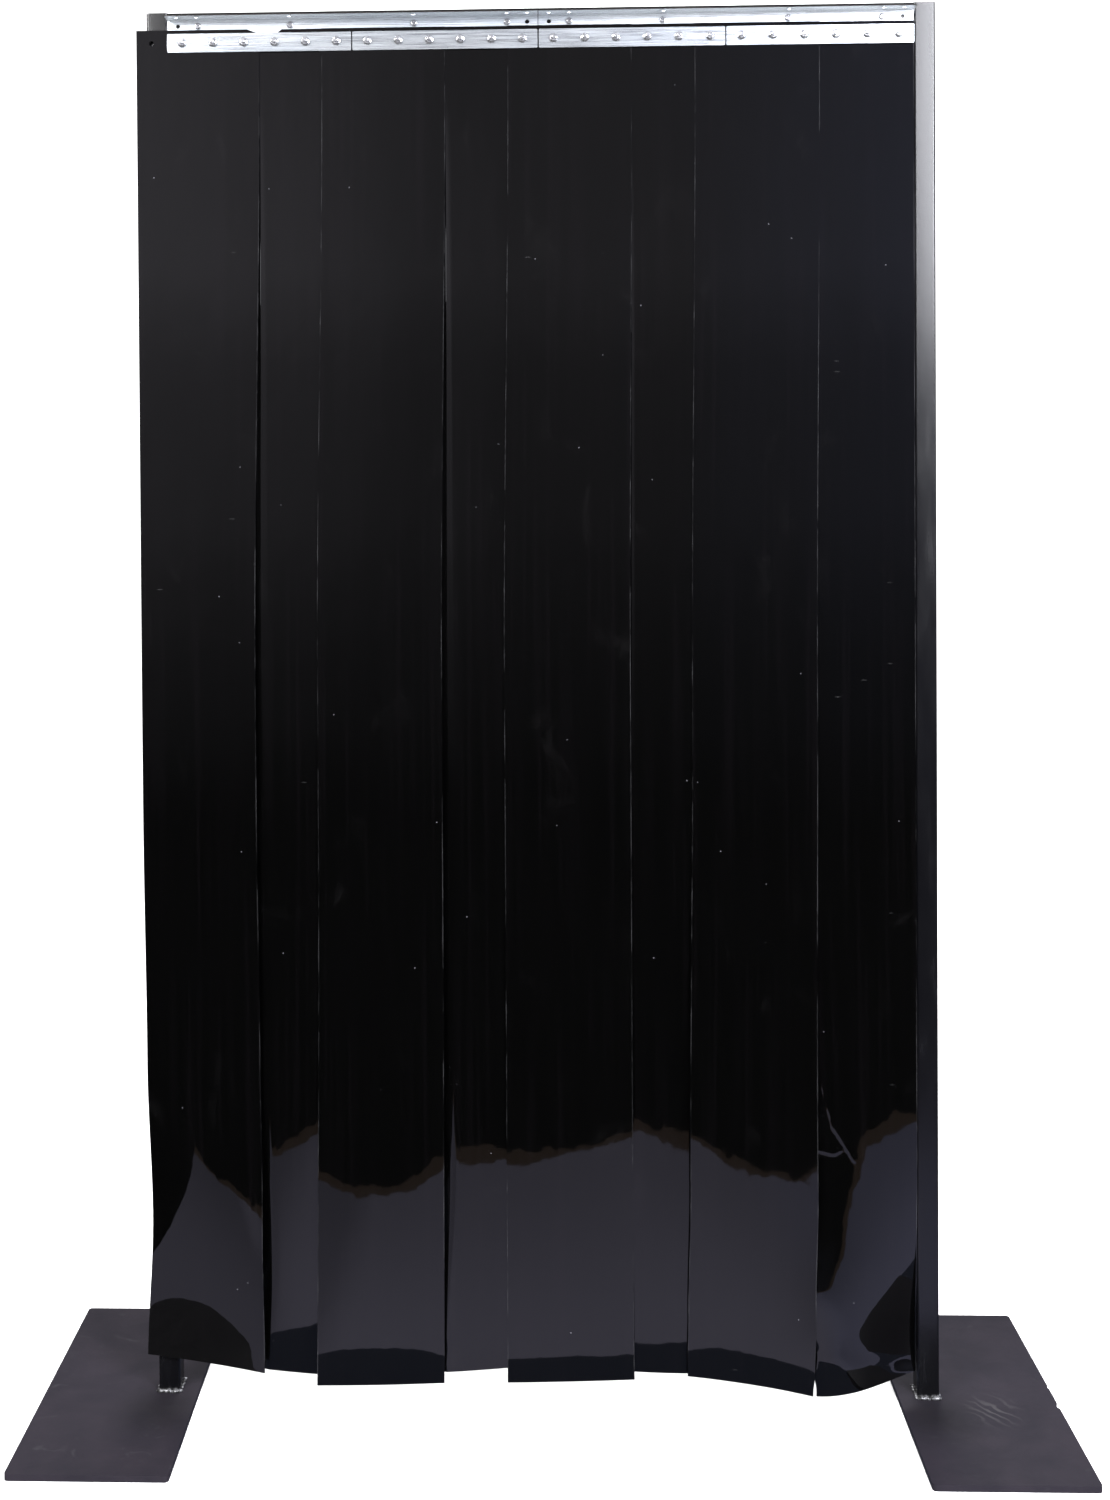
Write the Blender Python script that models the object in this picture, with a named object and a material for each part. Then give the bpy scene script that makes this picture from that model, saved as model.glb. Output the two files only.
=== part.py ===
"""Free-standing PVC strip curtain: a welded goalpost frame with eight overlapping black strips.

World frame: X runs across the passage, -Y is the side that the strips hang on, +Z is up.
The origin is on the floor, midway between the two foot plates.
"""

import math

import bmesh
import bpy
import numpy as np

MM = 0.001

# Fits between pieces
SEAT_GAP = 0.3 * MM
BUTT_GAP = 0.5 * MM
CUT_OVERRUN = 1.0 * MM

# Frame of square tube
FRAME_HEIGHT = 2260 * MM
PASSAGE_WIDTH = 1200 * MM
TUBE_SIZE = 35 * MM
TUBE_WALL = 3 * MM
TUBE_CORNER = 4 * MM
POST_CAP = 3 * MM

# Foot plates, each welded round the foot of its post
PLATE_DEPTH = 500 * MM
PLATE_THICK = 10 * MM
PLATE_OUTSIDE = 185 * MM
PLATE_INSIDE = 30 * MM
PLATE_CORNER = 6 * MM
WELD_LEG = 5 * MM

# Angle rail, screwed to the front of the top beam in two lengths
RAIL_COUNT = 2
RAIL_SHEET = 2 * MM
RAIL_SHELF = 30 * MM
RAIL_FACE = 51 * MM
RAIL_DROP = 11 * MM
RAIL_BEND = 3 * MM
RAIL_HOLE = 7 * MM
RAIL_END_HOLE = 17 * MM
SHELF_HOLE_SETBACK = 17 * MM
SCREW_DROP = 23 * MM
SCREW_PLACE_SHARES = (1 / 12, 1 / 3, 2 / 3, 11 / 12)

# Pan-head screws
SCREW_SHANK = 5.5 * MM
SCREW_HEAD = 11 * MM
SCREW_HEAD_HEIGHT = 3 * MM
SCREW_BITE = 9 * MM

# Studs welded to the rail, and their nuts
STUDS_PER_RAIL = 12
STUD_SIZE = 6 * MM
STUD_EDGE = 11 * MM
STUD_PROUD = 3 * MM
NUT_FLATS = 10 * MM
NUT_HEIGHT = 5 * MM
NUT_CHAMFER = 0.7 * MM

# Clamp plates
PLATES_PER_RAIL = 2
CLAMP_HEIGHT = 30 * MM
CLAMP_THICK = 2 * MM
CLAMP_GAP = 2 * MM
CLAMP_CORNER = 2 * MM
CLAMP_STUD_DROP = 14.5 * MM
CLAMP_HOLE = 7 * MM

# Strips: from the left, the odd ones hang in front of the even ones and overlap them by a stud pitch
STRIP_WIDTH = 199 * MM
STRIP_THICK = 2 * MM
STRIP_LENGTH = 2188 * MM
STRIP_HOLES = 4
STRIP_HOLE = 8 * MM
STRIP_HOLE_DROP = 21 * MM
STUDS_PER_STEP = 3
STUDS_OUTBOARD = 1
HINGE_DROP = 1 * MM

# How the front strips flare forward near the floor, at the left edge, the middle and the right edge.
# The back strips hang flat behind them.
FLARE_HEIGHT = 700 * MM
FLARE_DEPTH = 56 * MM
FLARE_SHARES = (
    (0.00, 0.18, 0.39),
    (0.57, 0.61, 0.54),
    (0.36, 0.27, 0.12),
    (0.36, 0.54, 1.00),
)

# How unevenly the strips were cut, at the left and the right edge
CUT_RISE = 26 * MM
CUT_SHARES = (
    (1.00, 0.69),
    (0.46, 0.08),
    (0.00, 0.00),
    (0.50, 0.50),
    (0.00, 0.00),
    (0.27, 0.50),
    (0.65, 0.23),
    (0.00, 0.77),
)
STRIP_COLUMNS = 8
FLARE_ROWS = 10

# Facets
ROUND_SIDES = 16
CORNER_STEPS = 3
SMOOTH_ANGLE = math.radians(35)

# Worked out from the sizes above
POST_X = (PASSAGE_WIDTH + TUBE_SIZE) / 2
PASSAGE_HALF = PASSAGE_WIDTH / 2
FRONT_Y = -TUBE_SIZE / 2
PLATE_WIDTH = PLATE_OUTSIDE + TUBE_SIZE + PLATE_INSIDE
PLATE_X = PASSAGE_HALF - PLATE_INSIDE + PLATE_WIDTH / 2
MODULE = PASSAGE_WIDTH / RAIL_COUNT
RAIL_LENGTH = MODULE - 2 * BUTT_GAP
STUD_COUNT = RAIL_COUNT * STUDS_PER_RAIL
STUD_PITCH = MODULE / STUDS_PER_RAIL
RAIL_TOP_Z = FRAME_HEIGHT - RAIL_DROP
RAIL_BOTTOM_Z = RAIL_TOP_Z - RAIL_FACE
STUD_Z = RAIL_BOTTOM_Z + STUD_EDGE
RAIL_BACK_Y = FRONT_Y - SEAT_GAP
RAIL_FRONT_Y = RAIL_BACK_Y - RAIL_SHEET
BACK_STRIP_Y = RAIL_FRONT_Y - SEAT_GAP - STRIP_THICK / 2
FRONT_STRIP_Y = BACK_STRIP_Y - STRIP_THICK - SEAT_GAP
CLAMP_BACK_Y = FRONT_STRIP_Y - STRIP_THICK / 2 - SEAT_GAP
NUT_BACK_Y = CLAMP_BACK_Y - CLAMP_THICK - SEAT_GAP
STUD_END_Y = NUT_BACK_Y - NUT_HEIGHT - STUD_PROUD
CLAMP_TOP_Z = STUD_Z + CLAMP_STUD_DROP
CLAMP_BOTTOM_Z = CLAMP_TOP_Z - CLAMP_HEIGHT
CLAMP_LENGTH = MODULE / PLATES_PER_RAIL - CLAMP_GAP
STRIP_TOP_Z = STUD_Z + STRIP_HOLE_DROP
STRIP_BOTTOM_Z = STRIP_TOP_Z - STRIP_LENGTH
HINGE_Z = CLAMP_BOTTOM_Z - HINGE_DROP
STRIP_COUNT = STUD_COUNT // STUDS_PER_STEP


def clear_scene():
    for old in list(bpy.data.objects):
        bpy.data.objects.remove(old, do_unlink=True)


def make_material(name, color, roughness, metallic):
    material = bpy.data.materials.new(name)
    material.use_nodes = True
    shader = material.node_tree.nodes["Principled BSDF"]
    shader.inputs["Base Color"].default_value = (*color, 1.0)
    shader.inputs["Roughness"].default_value = roughness
    shader.inputs["Metallic"].default_value = metallic
    return material


def add_object(name, mesh, material, location=(0.0, 0.0, 0.0), smooth=False):
    """Places a mesh under its node's name; a mesh that several nodes share keeps its own name."""
    obj = bpy.data.objects.new(name, mesh)
    bpy.context.scene.collection.objects.link(obj)
    obj.location = location
    if not mesh.materials:
        mesh.materials.append(material)
    if smooth:
        mesh.shade_smooth()
        mesh.set_sharp_from_angle(angle=SMOOTH_ANGLE)
    return obj


def mesh_from(name, bm):
    bmesh.ops.recalc_face_normals(bm, faces=bm.faces)
    mesh = bpy.data.meshes.new(name)
    bm.to_mesh(mesh)
    bm.free()
    return mesh


def rounded_rectangle(width, height, radius):
    """Corner points of a rectangle centred on zero, with an arc of the given radius at each corner."""
    points = []
    for quarter in range(4):
        side_x = 1 if quarter in (0, 3) else -1
        side_y = 1 if quarter in (0, 1) else -1
        centre = (side_x * (width / 2 - radius), side_y * (height / 2 - radius))
        for step in range(CORNER_STEPS + 1):
            angle = math.pi / 2 * (quarter + step / CORNER_STEPS)
            points.append((centre[0] + radius * math.cos(angle), centre[1] + radius * math.sin(angle)))
    return points


def polygon(sides, radius, turn=0.0):
    step = 2 * math.pi / sides
    return [(radius * math.cos(turn + step * i), radius * math.sin(turn + step * i)) for i in range(sides)]


def add_prism(bm, outline, place, low, high):
    """Extrudes an outline between two heights; place(a, b, h) gives the world point."""
    bottom = [bm.verts.new(place(a, b, low)) for a, b in outline]
    top = [bm.verts.new(place(a, b, high)) for a, b in outline]
    bm.faces.new(bottom)
    bm.faces.new(top)
    for i in range(len(outline)):
        j = (i + 1) % len(outline)
        bm.faces.new((bottom[i], bottom[j], top[j], top[i]))


def upright(a, b, h):
    return (a, b, h)


def across(a, b, h):
    return (h, a, b)


def facing(a, b, h):
    return (a, h, b)


def prism(name, outline, place, low, high):
    bm = bmesh.new()
    add_prism(bm, outline, place, low, high)
    return mesh_from(name, bm)


def combine(name, base, tool, operation):
    """Applies one exact Boolean and returns the result as a new mesh; both inputs are used up."""
    base_obj = bpy.data.objects.new(name, base)
    tool_obj = bpy.data.objects.new(name + "_tool", tool)
    for obj in (base_obj, tool_obj):
        bpy.context.scene.collection.objects.link(obj)
    modifier = base_obj.modifiers.new("combine", "BOOLEAN")
    modifier.operation = operation
    modifier.object = tool_obj
    graph = bpy.context.evaluated_depsgraph_get()
    result = bpy.data.meshes.new_from_object(base_obj.evaluated_get(graph))
    result.name = name
    for obj in (base_obj, tool_obj):
        bpy.data.objects.remove(obj, do_unlink=True)
    return result


def tube_mesh(name, place, low, high, bore_high):
    """Square tube; the bore runs from below the low end up to bore_high."""
    outside = rounded_rectangle(TUBE_SIZE, TUBE_SIZE, TUBE_CORNER)
    bore_size = TUBE_SIZE - 2 * TUBE_WALL
    inside = rounded_rectangle(bore_size, bore_size, TUBE_CORNER - TUBE_WALL)
    body = prism(name, outside, place, low, high)
    bore = prism(name + "_bore", inside, place, low - CUT_OVERRUN, bore_high)
    return combine(name, body, bore, "DIFFERENCE")


def make_post(name, side, material):
    low = PLATE_THICK + SEAT_GAP
    mesh = tube_mesh(name, upright, low, FRAME_HEIGHT, FRAME_HEIGHT - POST_CAP)
    return add_object(name, mesh, material, (side * POST_X, 0.0, 0.0), smooth=True)


def make_beam(material):
    half = PASSAGE_HALF - SEAT_GAP
    mesh = tube_mesh("top_beam", across, -half, half, half + CUT_OVERRUN)
    return add_object("top_beam", mesh, material, (0.0, 0.0, FRAME_HEIGHT - TUBE_SIZE / 2), smooth=True)


def weld_mesh(name):
    """A fillet of weld round the foot of a post, with room for the post in its middle."""
    inner = TUBE_SIZE / 2 + SEAT_GAP
    outer = inner + WELD_LEG
    low = PLATE_THICK - CUT_OVERRUN
    high = PLATE_THICK + WELD_LEG
    bm = bmesh.new()
    rings = []
    for half, z in ((inner, low), (outer, low), (outer, PLATE_THICK), (inner, high)):
        corners = ((-half, -half), (half, -half), (half, half), (-half, half))
        rings.append([bm.verts.new((x, y, z)) for x, y in corners])
    for ring, following in zip(rings, rings[1:] + rings[:1]):
        for i in range(4):
            j = (i + 1) % 4
            bm.faces.new((ring[i], ring[j], following[j], following[i]))
    return mesh_from(name, bm)


def make_foot_plate(name, side, material):
    """Plate with the post's weld; the node's origin is at the post's centre on the floor."""
    shift = side * (PLATE_X - POST_X)
    outline = [(x + shift, y) for x, y in rounded_rectangle(PLATE_WIDTH, PLATE_DEPTH, PLATE_CORNER)]
    slab = prism(name, outline, upright, 0.0, PLATE_THICK)
    mesh = combine(name, slab, weld_mesh(name + "_weld"), "UNION")
    return add_object(name, mesh, material, (side * POST_X, 0.0, 0.0))


def rail_section():
    """The angle's outline in Y and Z: a shelf forward from the top of its face, with a round bend."""
    nose_y = RAIL_BACK_Y - RAIL_SHELF
    under_z = RAIL_TOP_Z - RAIL_SHEET
    points = [
        (RAIL_BACK_Y, RAIL_BOTTOM_Z),
        (RAIL_FRONT_Y, RAIL_BOTTOM_Z),
        (RAIL_FRONT_Y, under_z),
        (nose_y, under_z),
        (nose_y, RAIL_TOP_Z),
    ]
    for step in range(CORNER_STEPS + 1):
        angle = math.pi / 2 * (1 - step / CORNER_STEPS)
        y = RAIL_BACK_Y - RAIL_BEND + RAIL_BEND * math.cos(angle)
        z = RAIL_TOP_Z - RAIL_BEND + RAIL_BEND * math.sin(angle)
        points.append((y, z))
    return points


def rail_fixing_places():
    """Distances of the fixing holes from the rail module's left end, and of the ones that hold screws."""
    screws = [MODULE * share for share in SCREW_PLACE_SHARES]
    ends = [RAIL_END_HOLE, MODULE - RAIL_END_HOLE]
    return screws, ends


def make_rail(name, index, material):
    """One length of rail with its welded studs; the node's origin is at the module's left end."""
    start = BUTT_GAP
    body = prism(name, rail_section(), across, start, start + RAIL_LENGTH)

    cutters = bmesh.new()
    screws, ends = rail_fixing_places()
    hole = polygon(ROUND_SIDES, RAIL_HOLE / 2)
    face_z = FRAME_HEIGHT - SCREW_DROP
    shelf_y = RAIL_BACK_Y - SHELF_HOLE_SETBACK
    for x in screws + ends:
        outline = [(x + a, face_z + b) for a, b in hole]
        add_prism(cutters, outline, facing, RAIL_FRONT_Y - CUT_OVERRUN, RAIL_BACK_Y + CUT_OVERRUN)
        outline = [(x + a, shelf_y + b) for a, b in hole]
        low = RAIL_TOP_Z - RAIL_SHEET - CUT_OVERRUN
        add_prism(cutters, outline, upright, low, RAIL_TOP_Z + CUT_OVERRUN)
    drilled = combine(name, body, mesh_from(name + "_holes", cutters), "DIFFERENCE")

    studs = bmesh.new()
    for i in range(STUDS_PER_RAIL):
        x = STUD_PITCH * (i + 0.5)
        outline = [(x + a, STUD_Z + b) for a, b in polygon(ROUND_SIDES, STUD_SIZE / 2)]
        add_prism(studs, outline, facing, STUD_END_Y, RAIL_FRONT_Y + RAIL_SHEET / 2)
    mesh = combine(name, drilled, mesh_from(name + "_studs", studs), "UNION")
    return add_object(name, mesh, material, (-PASSAGE_HALF + MODULE * index, 0.0, 0.0), smooth=True)


def screw_mesh():
    """Pan-head screw along Y, with the underside of its head at y = 0 and its shank going to +Y."""
    bm = bmesh.new()
    head = SCREW_HEAD / 2
    shank = SCREW_SHANK / 2
    dome_share = 0.75
    profile = (
        (shank, SCREW_BITE),
        (shank, 0.0),
        (head, 0.0),
        (head, -SCREW_HEAD_HEIGHT / 2),
        (head * dome_share, -SCREW_HEAD_HEIGHT),
    )
    rings = []
    for radius, y in profile:
        rings.append([bm.verts.new((a, y, b)) for a, b in polygon(ROUND_SIDES, radius)])
    for ring, following in zip(rings, rings[1:]):
        for i in range(ROUND_SIDES):
            j = (i + 1) % ROUND_SIDES
            bm.faces.new((ring[i], ring[j], following[j], following[i]))
    bm.faces.new(rings[0])
    bm.faces.new(rings[-1])
    return mesh_from("rail_screw", bm)


def beam_hole_cutters():
    """Clearance holes for the screws through the beam's front wall."""
    bm = bmesh.new()
    beam_z = FRAME_HEIGHT - TUBE_SIZE / 2
    for x in screw_places():
        outline = polygon(ROUND_SIDES, SCREW_SHANK / 2 + SEAT_GAP)
        outline = [(x + a, FRAME_HEIGHT - SCREW_DROP - beam_z + b) for a, b in outline]
        add_prism(bm, outline, facing, FRONT_Y - CUT_OVERRUN, FRONT_Y + TUBE_WALL + CUT_OVERRUN)
    return mesh_from("beam_holes", bm)


def screw_places():
    screws, _ = rail_fixing_places()
    return [-PASSAGE_HALF + MODULE * rail + x for rail in range(RAIL_COUNT) for x in screws]


def drill_beam(beam):
    smooth_mesh = combine("top_beam", beam.data, beam_hole_cutters(), "DIFFERENCE")
    beam.data = smooth_mesh


def make_screws(material):
    mesh = screw_mesh()
    head_y = RAIL_FRONT_Y - SEAT_GAP
    for number, x in enumerate(screw_places(), start=1):
        place = (x, head_y, FRAME_HEIGHT - SCREW_DROP)
        add_object(f"rail_screw_{number}", mesh, material, place, smooth=True)


def clamp_mesh():
    """One clamp plate, centred on X, with a hole for each stud that it covers."""
    outline = rounded_rectangle(CLAMP_LENGTH, CLAMP_HEIGHT, CLAMP_CORNER)
    body = prism("clamp_plate", outline, facing, -CLAMP_THICK, 0.0)
    holes = bmesh.new()
    count = STUDS_PER_RAIL // PLATES_PER_RAIL
    hole_z = STUD_Z - (CLAMP_TOP_Z - CLAMP_HEIGHT / 2)
    for i in range(count):
        x = STUD_PITCH * (i - (count - 1) / 2)
        outline = [(x + a, hole_z + b) for a, b in polygon(ROUND_SIDES, CLAMP_HOLE / 2)]
        add_prism(holes, outline, facing, -CLAMP_THICK - CUT_OVERRUN, CUT_OVERRUN)
    return combine("clamp_plate", body, mesh_from("clamp_holes", holes), "DIFFERENCE")


def make_clamps(material):
    mesh = clamp_mesh()
    span = MODULE / PLATES_PER_RAIL
    middle_z = CLAMP_TOP_Z - CLAMP_HEIGHT / 2
    for i in range(RAIL_COUNT * PLATES_PER_RAIL):
        place = (-PASSAGE_HALF + span * (i + 0.5), CLAMP_BACK_Y, middle_z)
        add_object(f"clamp_plate_{i + 1}", mesh, material, place, smooth=True)


def nut_mesh():
    """Hexagon nut along Y with its seat at y = 0, chamfered at its outer end."""
    sides = 6
    corner = NUT_FLATS / 2 / math.cos(math.pi / sides)
    turn = math.pi / sides
    bm = bmesh.new()
    rings = []
    chamfer_y = -NUT_HEIGHT + NUT_CHAMFER
    for radius, y in ((corner, 0.0), (corner, chamfer_y), (corner - NUT_CHAMFER, -NUT_HEIGHT)):
        rings.append([bm.verts.new((a, y, b)) for a, b in polygon(sides, radius, turn)])
    for ring, following in zip(rings, rings[1:]):
        for i in range(sides):
            j = (i + 1) % sides
            bm.faces.new((ring[i], ring[j], following[j], following[i]))
    bm.faces.new(rings[0])
    bm.faces.new(rings[-1])
    body = mesh_from("clamp_nut", bm)
    hole = polygon(ROUND_SIDES, STUD_SIZE / 2 + SEAT_GAP)
    bore = prism("nut_bore", hole, facing, -NUT_HEIGHT - CUT_OVERRUN, CUT_OVERRUN)
    return combine("clamp_nut", body, bore, "DIFFERENCE")


def make_nuts(material):
    mesh = nut_mesh()
    for i in range(STUD_COUNT):
        place = (-PASSAGE_HALF + STUD_PITCH * (i + 0.5), NUT_BACK_Y, STUD_Z)
        add_object(f"clamp_nut_{i + 1:02d}", mesh, material, place, smooth=True)


def strip_centre_x(index):
    first_stud = STUDS_PER_STEP * index - STUDS_OUTBOARD
    middle_stud = first_stud + (STRIP_HOLES - 1) / 2
    return -PASSAGE_HALF + STUD_PITCH * (middle_stud + 0.5)


def hangs_in_front(index):
    return index % 2 == 0


def strip_y(index):
    return FRONT_STRIP_Y if hangs_in_front(index) else BACK_STRIP_Y


def head_mesh():
    """The punched top of a strip, which the clamp plates hold, centred on X with its top at z = 0."""
    bottom = HINGE_Z + SEAT_GAP / 2 - STRIP_TOP_Z
    half = STRIP_WIDTH / 2
    outline = ((-half, bottom), (half, bottom), (half, 0.0), (-half, 0.0))
    body = prism("strip_head", outline, facing, -STRIP_THICK / 2, STRIP_THICK / 2)
    holes = bmesh.new()
    for i in range(STRIP_HOLES):
        x = STUD_PITCH * (i - (STRIP_HOLES - 1) / 2)
        outline = [(x + a, b - STRIP_HOLE_DROP) for a, b in polygon(ROUND_SIDES, STRIP_HOLE / 2)]
        add_prism(holes, outline, facing, -STRIP_THICK, STRIP_THICK)
    return combine("strip_head", body, mesh_from("strip_holes", holes), "DIFFERENCE")


def flare(index, across_share, z):
    """How far forward a strip stands at a share of its width and a height above the floor."""
    if z >= FLARE_HEIGHT or not hangs_in_front(index):
        return 0.0
    depth = np.interp(across_share, (0.0, 0.5, 1.0), FLARE_SHARES[index // 2 % len(FLARE_SHARES)])
    return float(depth) * FLARE_DEPTH * (1 - z / FLARE_HEIGHT) ** 2


def row_shares(index):
    """How far down its flare each row of points lies. A flat strip needs only its cut edge."""
    return [row / FLARE_ROWS for row in range(FLARE_ROWS + 1)] if hangs_in_front(index) else [1.0]


def hanging_mesh(index, pivot_y):
    """The part of a strip below the clamp, measured from its bending line, which is its origin."""
    top = -SEAT_GAP / 2
    cut_left, cut_right = CUT_SHARES[index % len(CUT_SHARES)]
    flare_top = FLARE_HEIGHT - HINGE_Z
    last_row = len(row_shares(index))
    last_column = STRIP_COLUMNS if hangs_in_front(index) else 1
    bm = bmesh.new()
    sheets = []
    for face_y in (-STRIP_THICK / 2, STRIP_THICK / 2):
        columns = []
        for column in range(last_column + 1):
            share = column / last_column
            cut = CUT_RISE * (cut_left + (cut_right - cut_left) * share)
            bottom = STRIP_BOTTOM_Z + cut - HINGE_Z
            heights = [top] + [flare_top + (bottom - flare_top) * down for down in row_shares(index)]
            x = STRIP_WIDTH * (share - 0.5)
            line = []
            for z in heights:
                forward = flare(index, share, z + HINGE_Z)
                line.append(bm.verts.new((x, strip_y(index) + face_y - forward - pivot_y, z)))
            columns.append(line)
        sheets.append(list(zip(*columns)))
    for rows in sheets:
        for r in range(last_row):
            for c in range(last_column):
                bm.faces.new((rows[r][c], rows[r][c + 1], rows[r + 1][c + 1], rows[r + 1][c]))
    front, back = sheets
    for c in range(last_column):
        for r in (0, last_row):
            bm.faces.new((front[r][c], front[r][c + 1], back[r][c + 1], back[r][c]))
    for r in range(last_row):
        for c in (0, last_column):
            bm.faces.new((front[r][c], front[r + 1][c], back[r + 1][c], back[r][c]))
    return mesh_from(f"hanging_strip_{index + 1}", bm)


def make_strips(material):
    """Front strips bend forward about their front skin, back strips backward about their back skin."""
    head = head_mesh()
    for index in range(STRIP_COUNT):
        x = strip_centre_x(index)
        y = strip_y(index)
        add_object(f"strip_head_{index + 1}", head, material, (x, y, STRIP_TOP_Z))
        towards = -1 if hangs_in_front(index) else 1
        pivot_y = y + towards * STRIP_THICK / 2
        mesh = hanging_mesh(index, pivot_y)
        add_object(f"hanging_strip_{index + 1}", mesh, material, (x, pivot_y, HINGE_Z), smooth=True)


def main():
    clear_scene()
    paint = make_material("black_paint", (0.035, 0.035, 0.040), 0.45, 0.0)
    plate_steel = make_material("foot_plate_steel", (0.065, 0.062, 0.068), 0.55, 0.3)
    galvanised = make_material("galvanised_steel", (0.62, 0.66, 0.70), 0.35, 1.0)
    zinc = make_material("zinc_fastener", (0.66, 0.68, 0.70), 0.28, 1.0)
    pvc = make_material("black_pvc", (0.012, 0.012, 0.014), 0.12, 0.0)

    for name, side in (("left", -1), ("right", 1)):
        make_foot_plate(f"foot_plate_{name}", side, plate_steel)
        make_post(f"post_{name}", side, paint)
    drill_beam(make_beam(paint))
    for index, name in enumerate(("left", "right")):
        make_rail(f"rail_{name}", index, galvanised)
    make_screws(zinc)
    make_clamps(galvanised)
    make_nuts(zinc)
    make_strips(pvc)


main()
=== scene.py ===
"""The looks of the free-standing strip curtain: eight black PVC strips clamped to a rail in a steel frame."""
import math

import bmesh
import bpy
import numpy as np
from mathutils import Matrix, Vector


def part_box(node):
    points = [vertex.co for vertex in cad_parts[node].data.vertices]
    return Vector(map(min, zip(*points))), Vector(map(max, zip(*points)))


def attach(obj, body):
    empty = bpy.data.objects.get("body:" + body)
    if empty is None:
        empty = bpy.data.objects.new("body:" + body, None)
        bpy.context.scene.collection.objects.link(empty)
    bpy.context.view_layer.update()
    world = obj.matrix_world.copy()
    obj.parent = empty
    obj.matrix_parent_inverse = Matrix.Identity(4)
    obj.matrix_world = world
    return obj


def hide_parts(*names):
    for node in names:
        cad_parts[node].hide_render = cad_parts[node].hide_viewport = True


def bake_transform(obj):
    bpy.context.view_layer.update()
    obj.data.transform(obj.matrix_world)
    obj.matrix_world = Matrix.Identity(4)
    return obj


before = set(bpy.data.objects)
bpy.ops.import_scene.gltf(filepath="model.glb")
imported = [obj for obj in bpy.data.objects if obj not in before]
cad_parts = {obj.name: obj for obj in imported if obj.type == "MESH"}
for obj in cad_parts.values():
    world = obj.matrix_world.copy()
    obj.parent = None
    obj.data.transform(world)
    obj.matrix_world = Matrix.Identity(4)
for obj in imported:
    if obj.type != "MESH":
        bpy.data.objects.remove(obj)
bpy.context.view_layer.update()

MM = 0.001
FULL_TURN = 2 * math.pi

# Camera: the place and aim that the photograph was taken from
PHOTO_WIDTH, PHOTO_HEIGHT = 1110, 1500
CAMERA_PLACE = (-0.015, -2.758, 1.536)
CAMERA_YAW, CAMERA_PITCH, CAMERA_ROLL = math.radians(1.71), math.radians(0.82), math.radians(-0.39)
FOCAL_PIXELS = 1695.0
CENTRE_PIXEL = (481.0, 482.0)
SENSOR = 36.0
CLIP_NEAR, CLIP_FAR = 0.05, 200

# The object's pieces, as the model has them
SIDES = (("left", -1), ("right", 1))
NUTS, SCREWS, CLAMP_PLATES = range(1, 25), range(1, 9), range(1, 5)
STRIP_COUNT = 8
STRIP_WIDTH, STRIP_LENGTH, STRIP_THICK = 0.199, 2.188, 2 * MM
PLATE_THICK = 10 * MM
RAIL_SHEET = 2 * MM
STUD_SIZE = 6 * MM

# Each strip's flat map starts a metre after the last one's, this far along, so no two show the same marks
FLAT_START = 0.3

# Random seeds
FOOT_WELD_SEEDS = {"left": 11, "right": 12}
SEAM_SEEDS = {"left": 21, "right": 22}
FASTENER_SEED, WAVE_SEED, FLOOR_SEED = 5, 40, 3


# Small helpers for shapes

SHARP_DEGREES = 50.0  # edges whose faces meet at more than this are rounded
X_AXIS, Y_AXIS, Z_AXIS = range(3)


def link(obj):
    bpy.context.scene.collection.objects.link(obj)
    return obj


def mesh_object(name, bm, material, smooth_degrees):
    """Turns a bmesh into a shaded object; faces that meet at less than the angle are shaded as one."""
    bmesh.ops.recalc_face_normals(bm, faces=bm.faces)
    mesh = bpy.data.meshes.new(name)
    bm.to_mesh(mesh)
    bm.free()
    mesh.materials.append(material)
    mesh.shade_smooth()
    mesh.set_sharp_from_angle(angle=math.radians(smooth_degrees))
    return link(bpy.data.objects.new(name, mesh))


def take_mesh(obj):
    """An object's mesh without the object, for pieces that share it."""
    mesh = obj.data
    bpy.data.objects.remove(obj, do_unlink=True)
    return mesh


def arc(centre, radius, start, end, steps):
    """Points along an arc, between two angles in quarter turns."""
    angles = [math.pi / 2 * (start + (end - start) * step / steps) for step in range(steps + 1)]
    return [(centre[0] + radius * math.cos(t), centre[1] + radius * math.sin(t)) for t in angles]


def circle(radius, centre=(0.0, 0.0), sides=32):
    return arc(centre, radius, 0, 4, sides)[:-1]


def rounded_rectangle(width, height, radius, centre, steps=6):
    points = []
    for quarter, (a, b) in enumerate(((1, 1), (-1, 1), (-1, -1), (1, -1))):
        corner = (centre[0] + a * (width / 2 - radius), centre[1] + b * (height / 2 - radius))
        points += arc(corner, radius, quarter, quarter + 1, steps)
    return points


def bridge(bm, rings, capped=False):
    """Faces from each ring of corners to the next, and over both ends if it is capped."""
    for ring, following in zip(rings, rings[1:]):
        for i in range(len(ring)):
            j = (i + 1) % len(ring)
            bm.faces.new((ring[i], ring[j], following[j], following[i]))
    if capped:
        bm.faces.new(rings[0])
        bm.faces.new(rings[-1])


def add_prism(bm, outline, axis, low, high):
    """Extrudes an outline along an axis; its two numbers are along the other axes, in their order."""
    ends = [[bm.verts.new((*point[:axis], end, *point[axis:])) for point in outline] for end in (low, high)]
    bridge(bm, ends, capped=True)


def add_turned(bm, profile, sides):
    """Turns (radius, y) pairs about the Y axis."""
    rings = [[bm.verts.new((a, y, b)) for a, b in circle(radius, sides=sides)] for radius, y in profile]
    bridge(bm, rings, capped=True)


def oval_ring(bm, centre, first, second, sides):
    """A ring of corners about a point, spanned by two half axes."""
    angles = [FULL_TURN * i / sides for i in range(sides)]
    return [bm.verts.new(centre + first * math.cos(t) + second * math.sin(t)) for t in angles]


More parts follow.
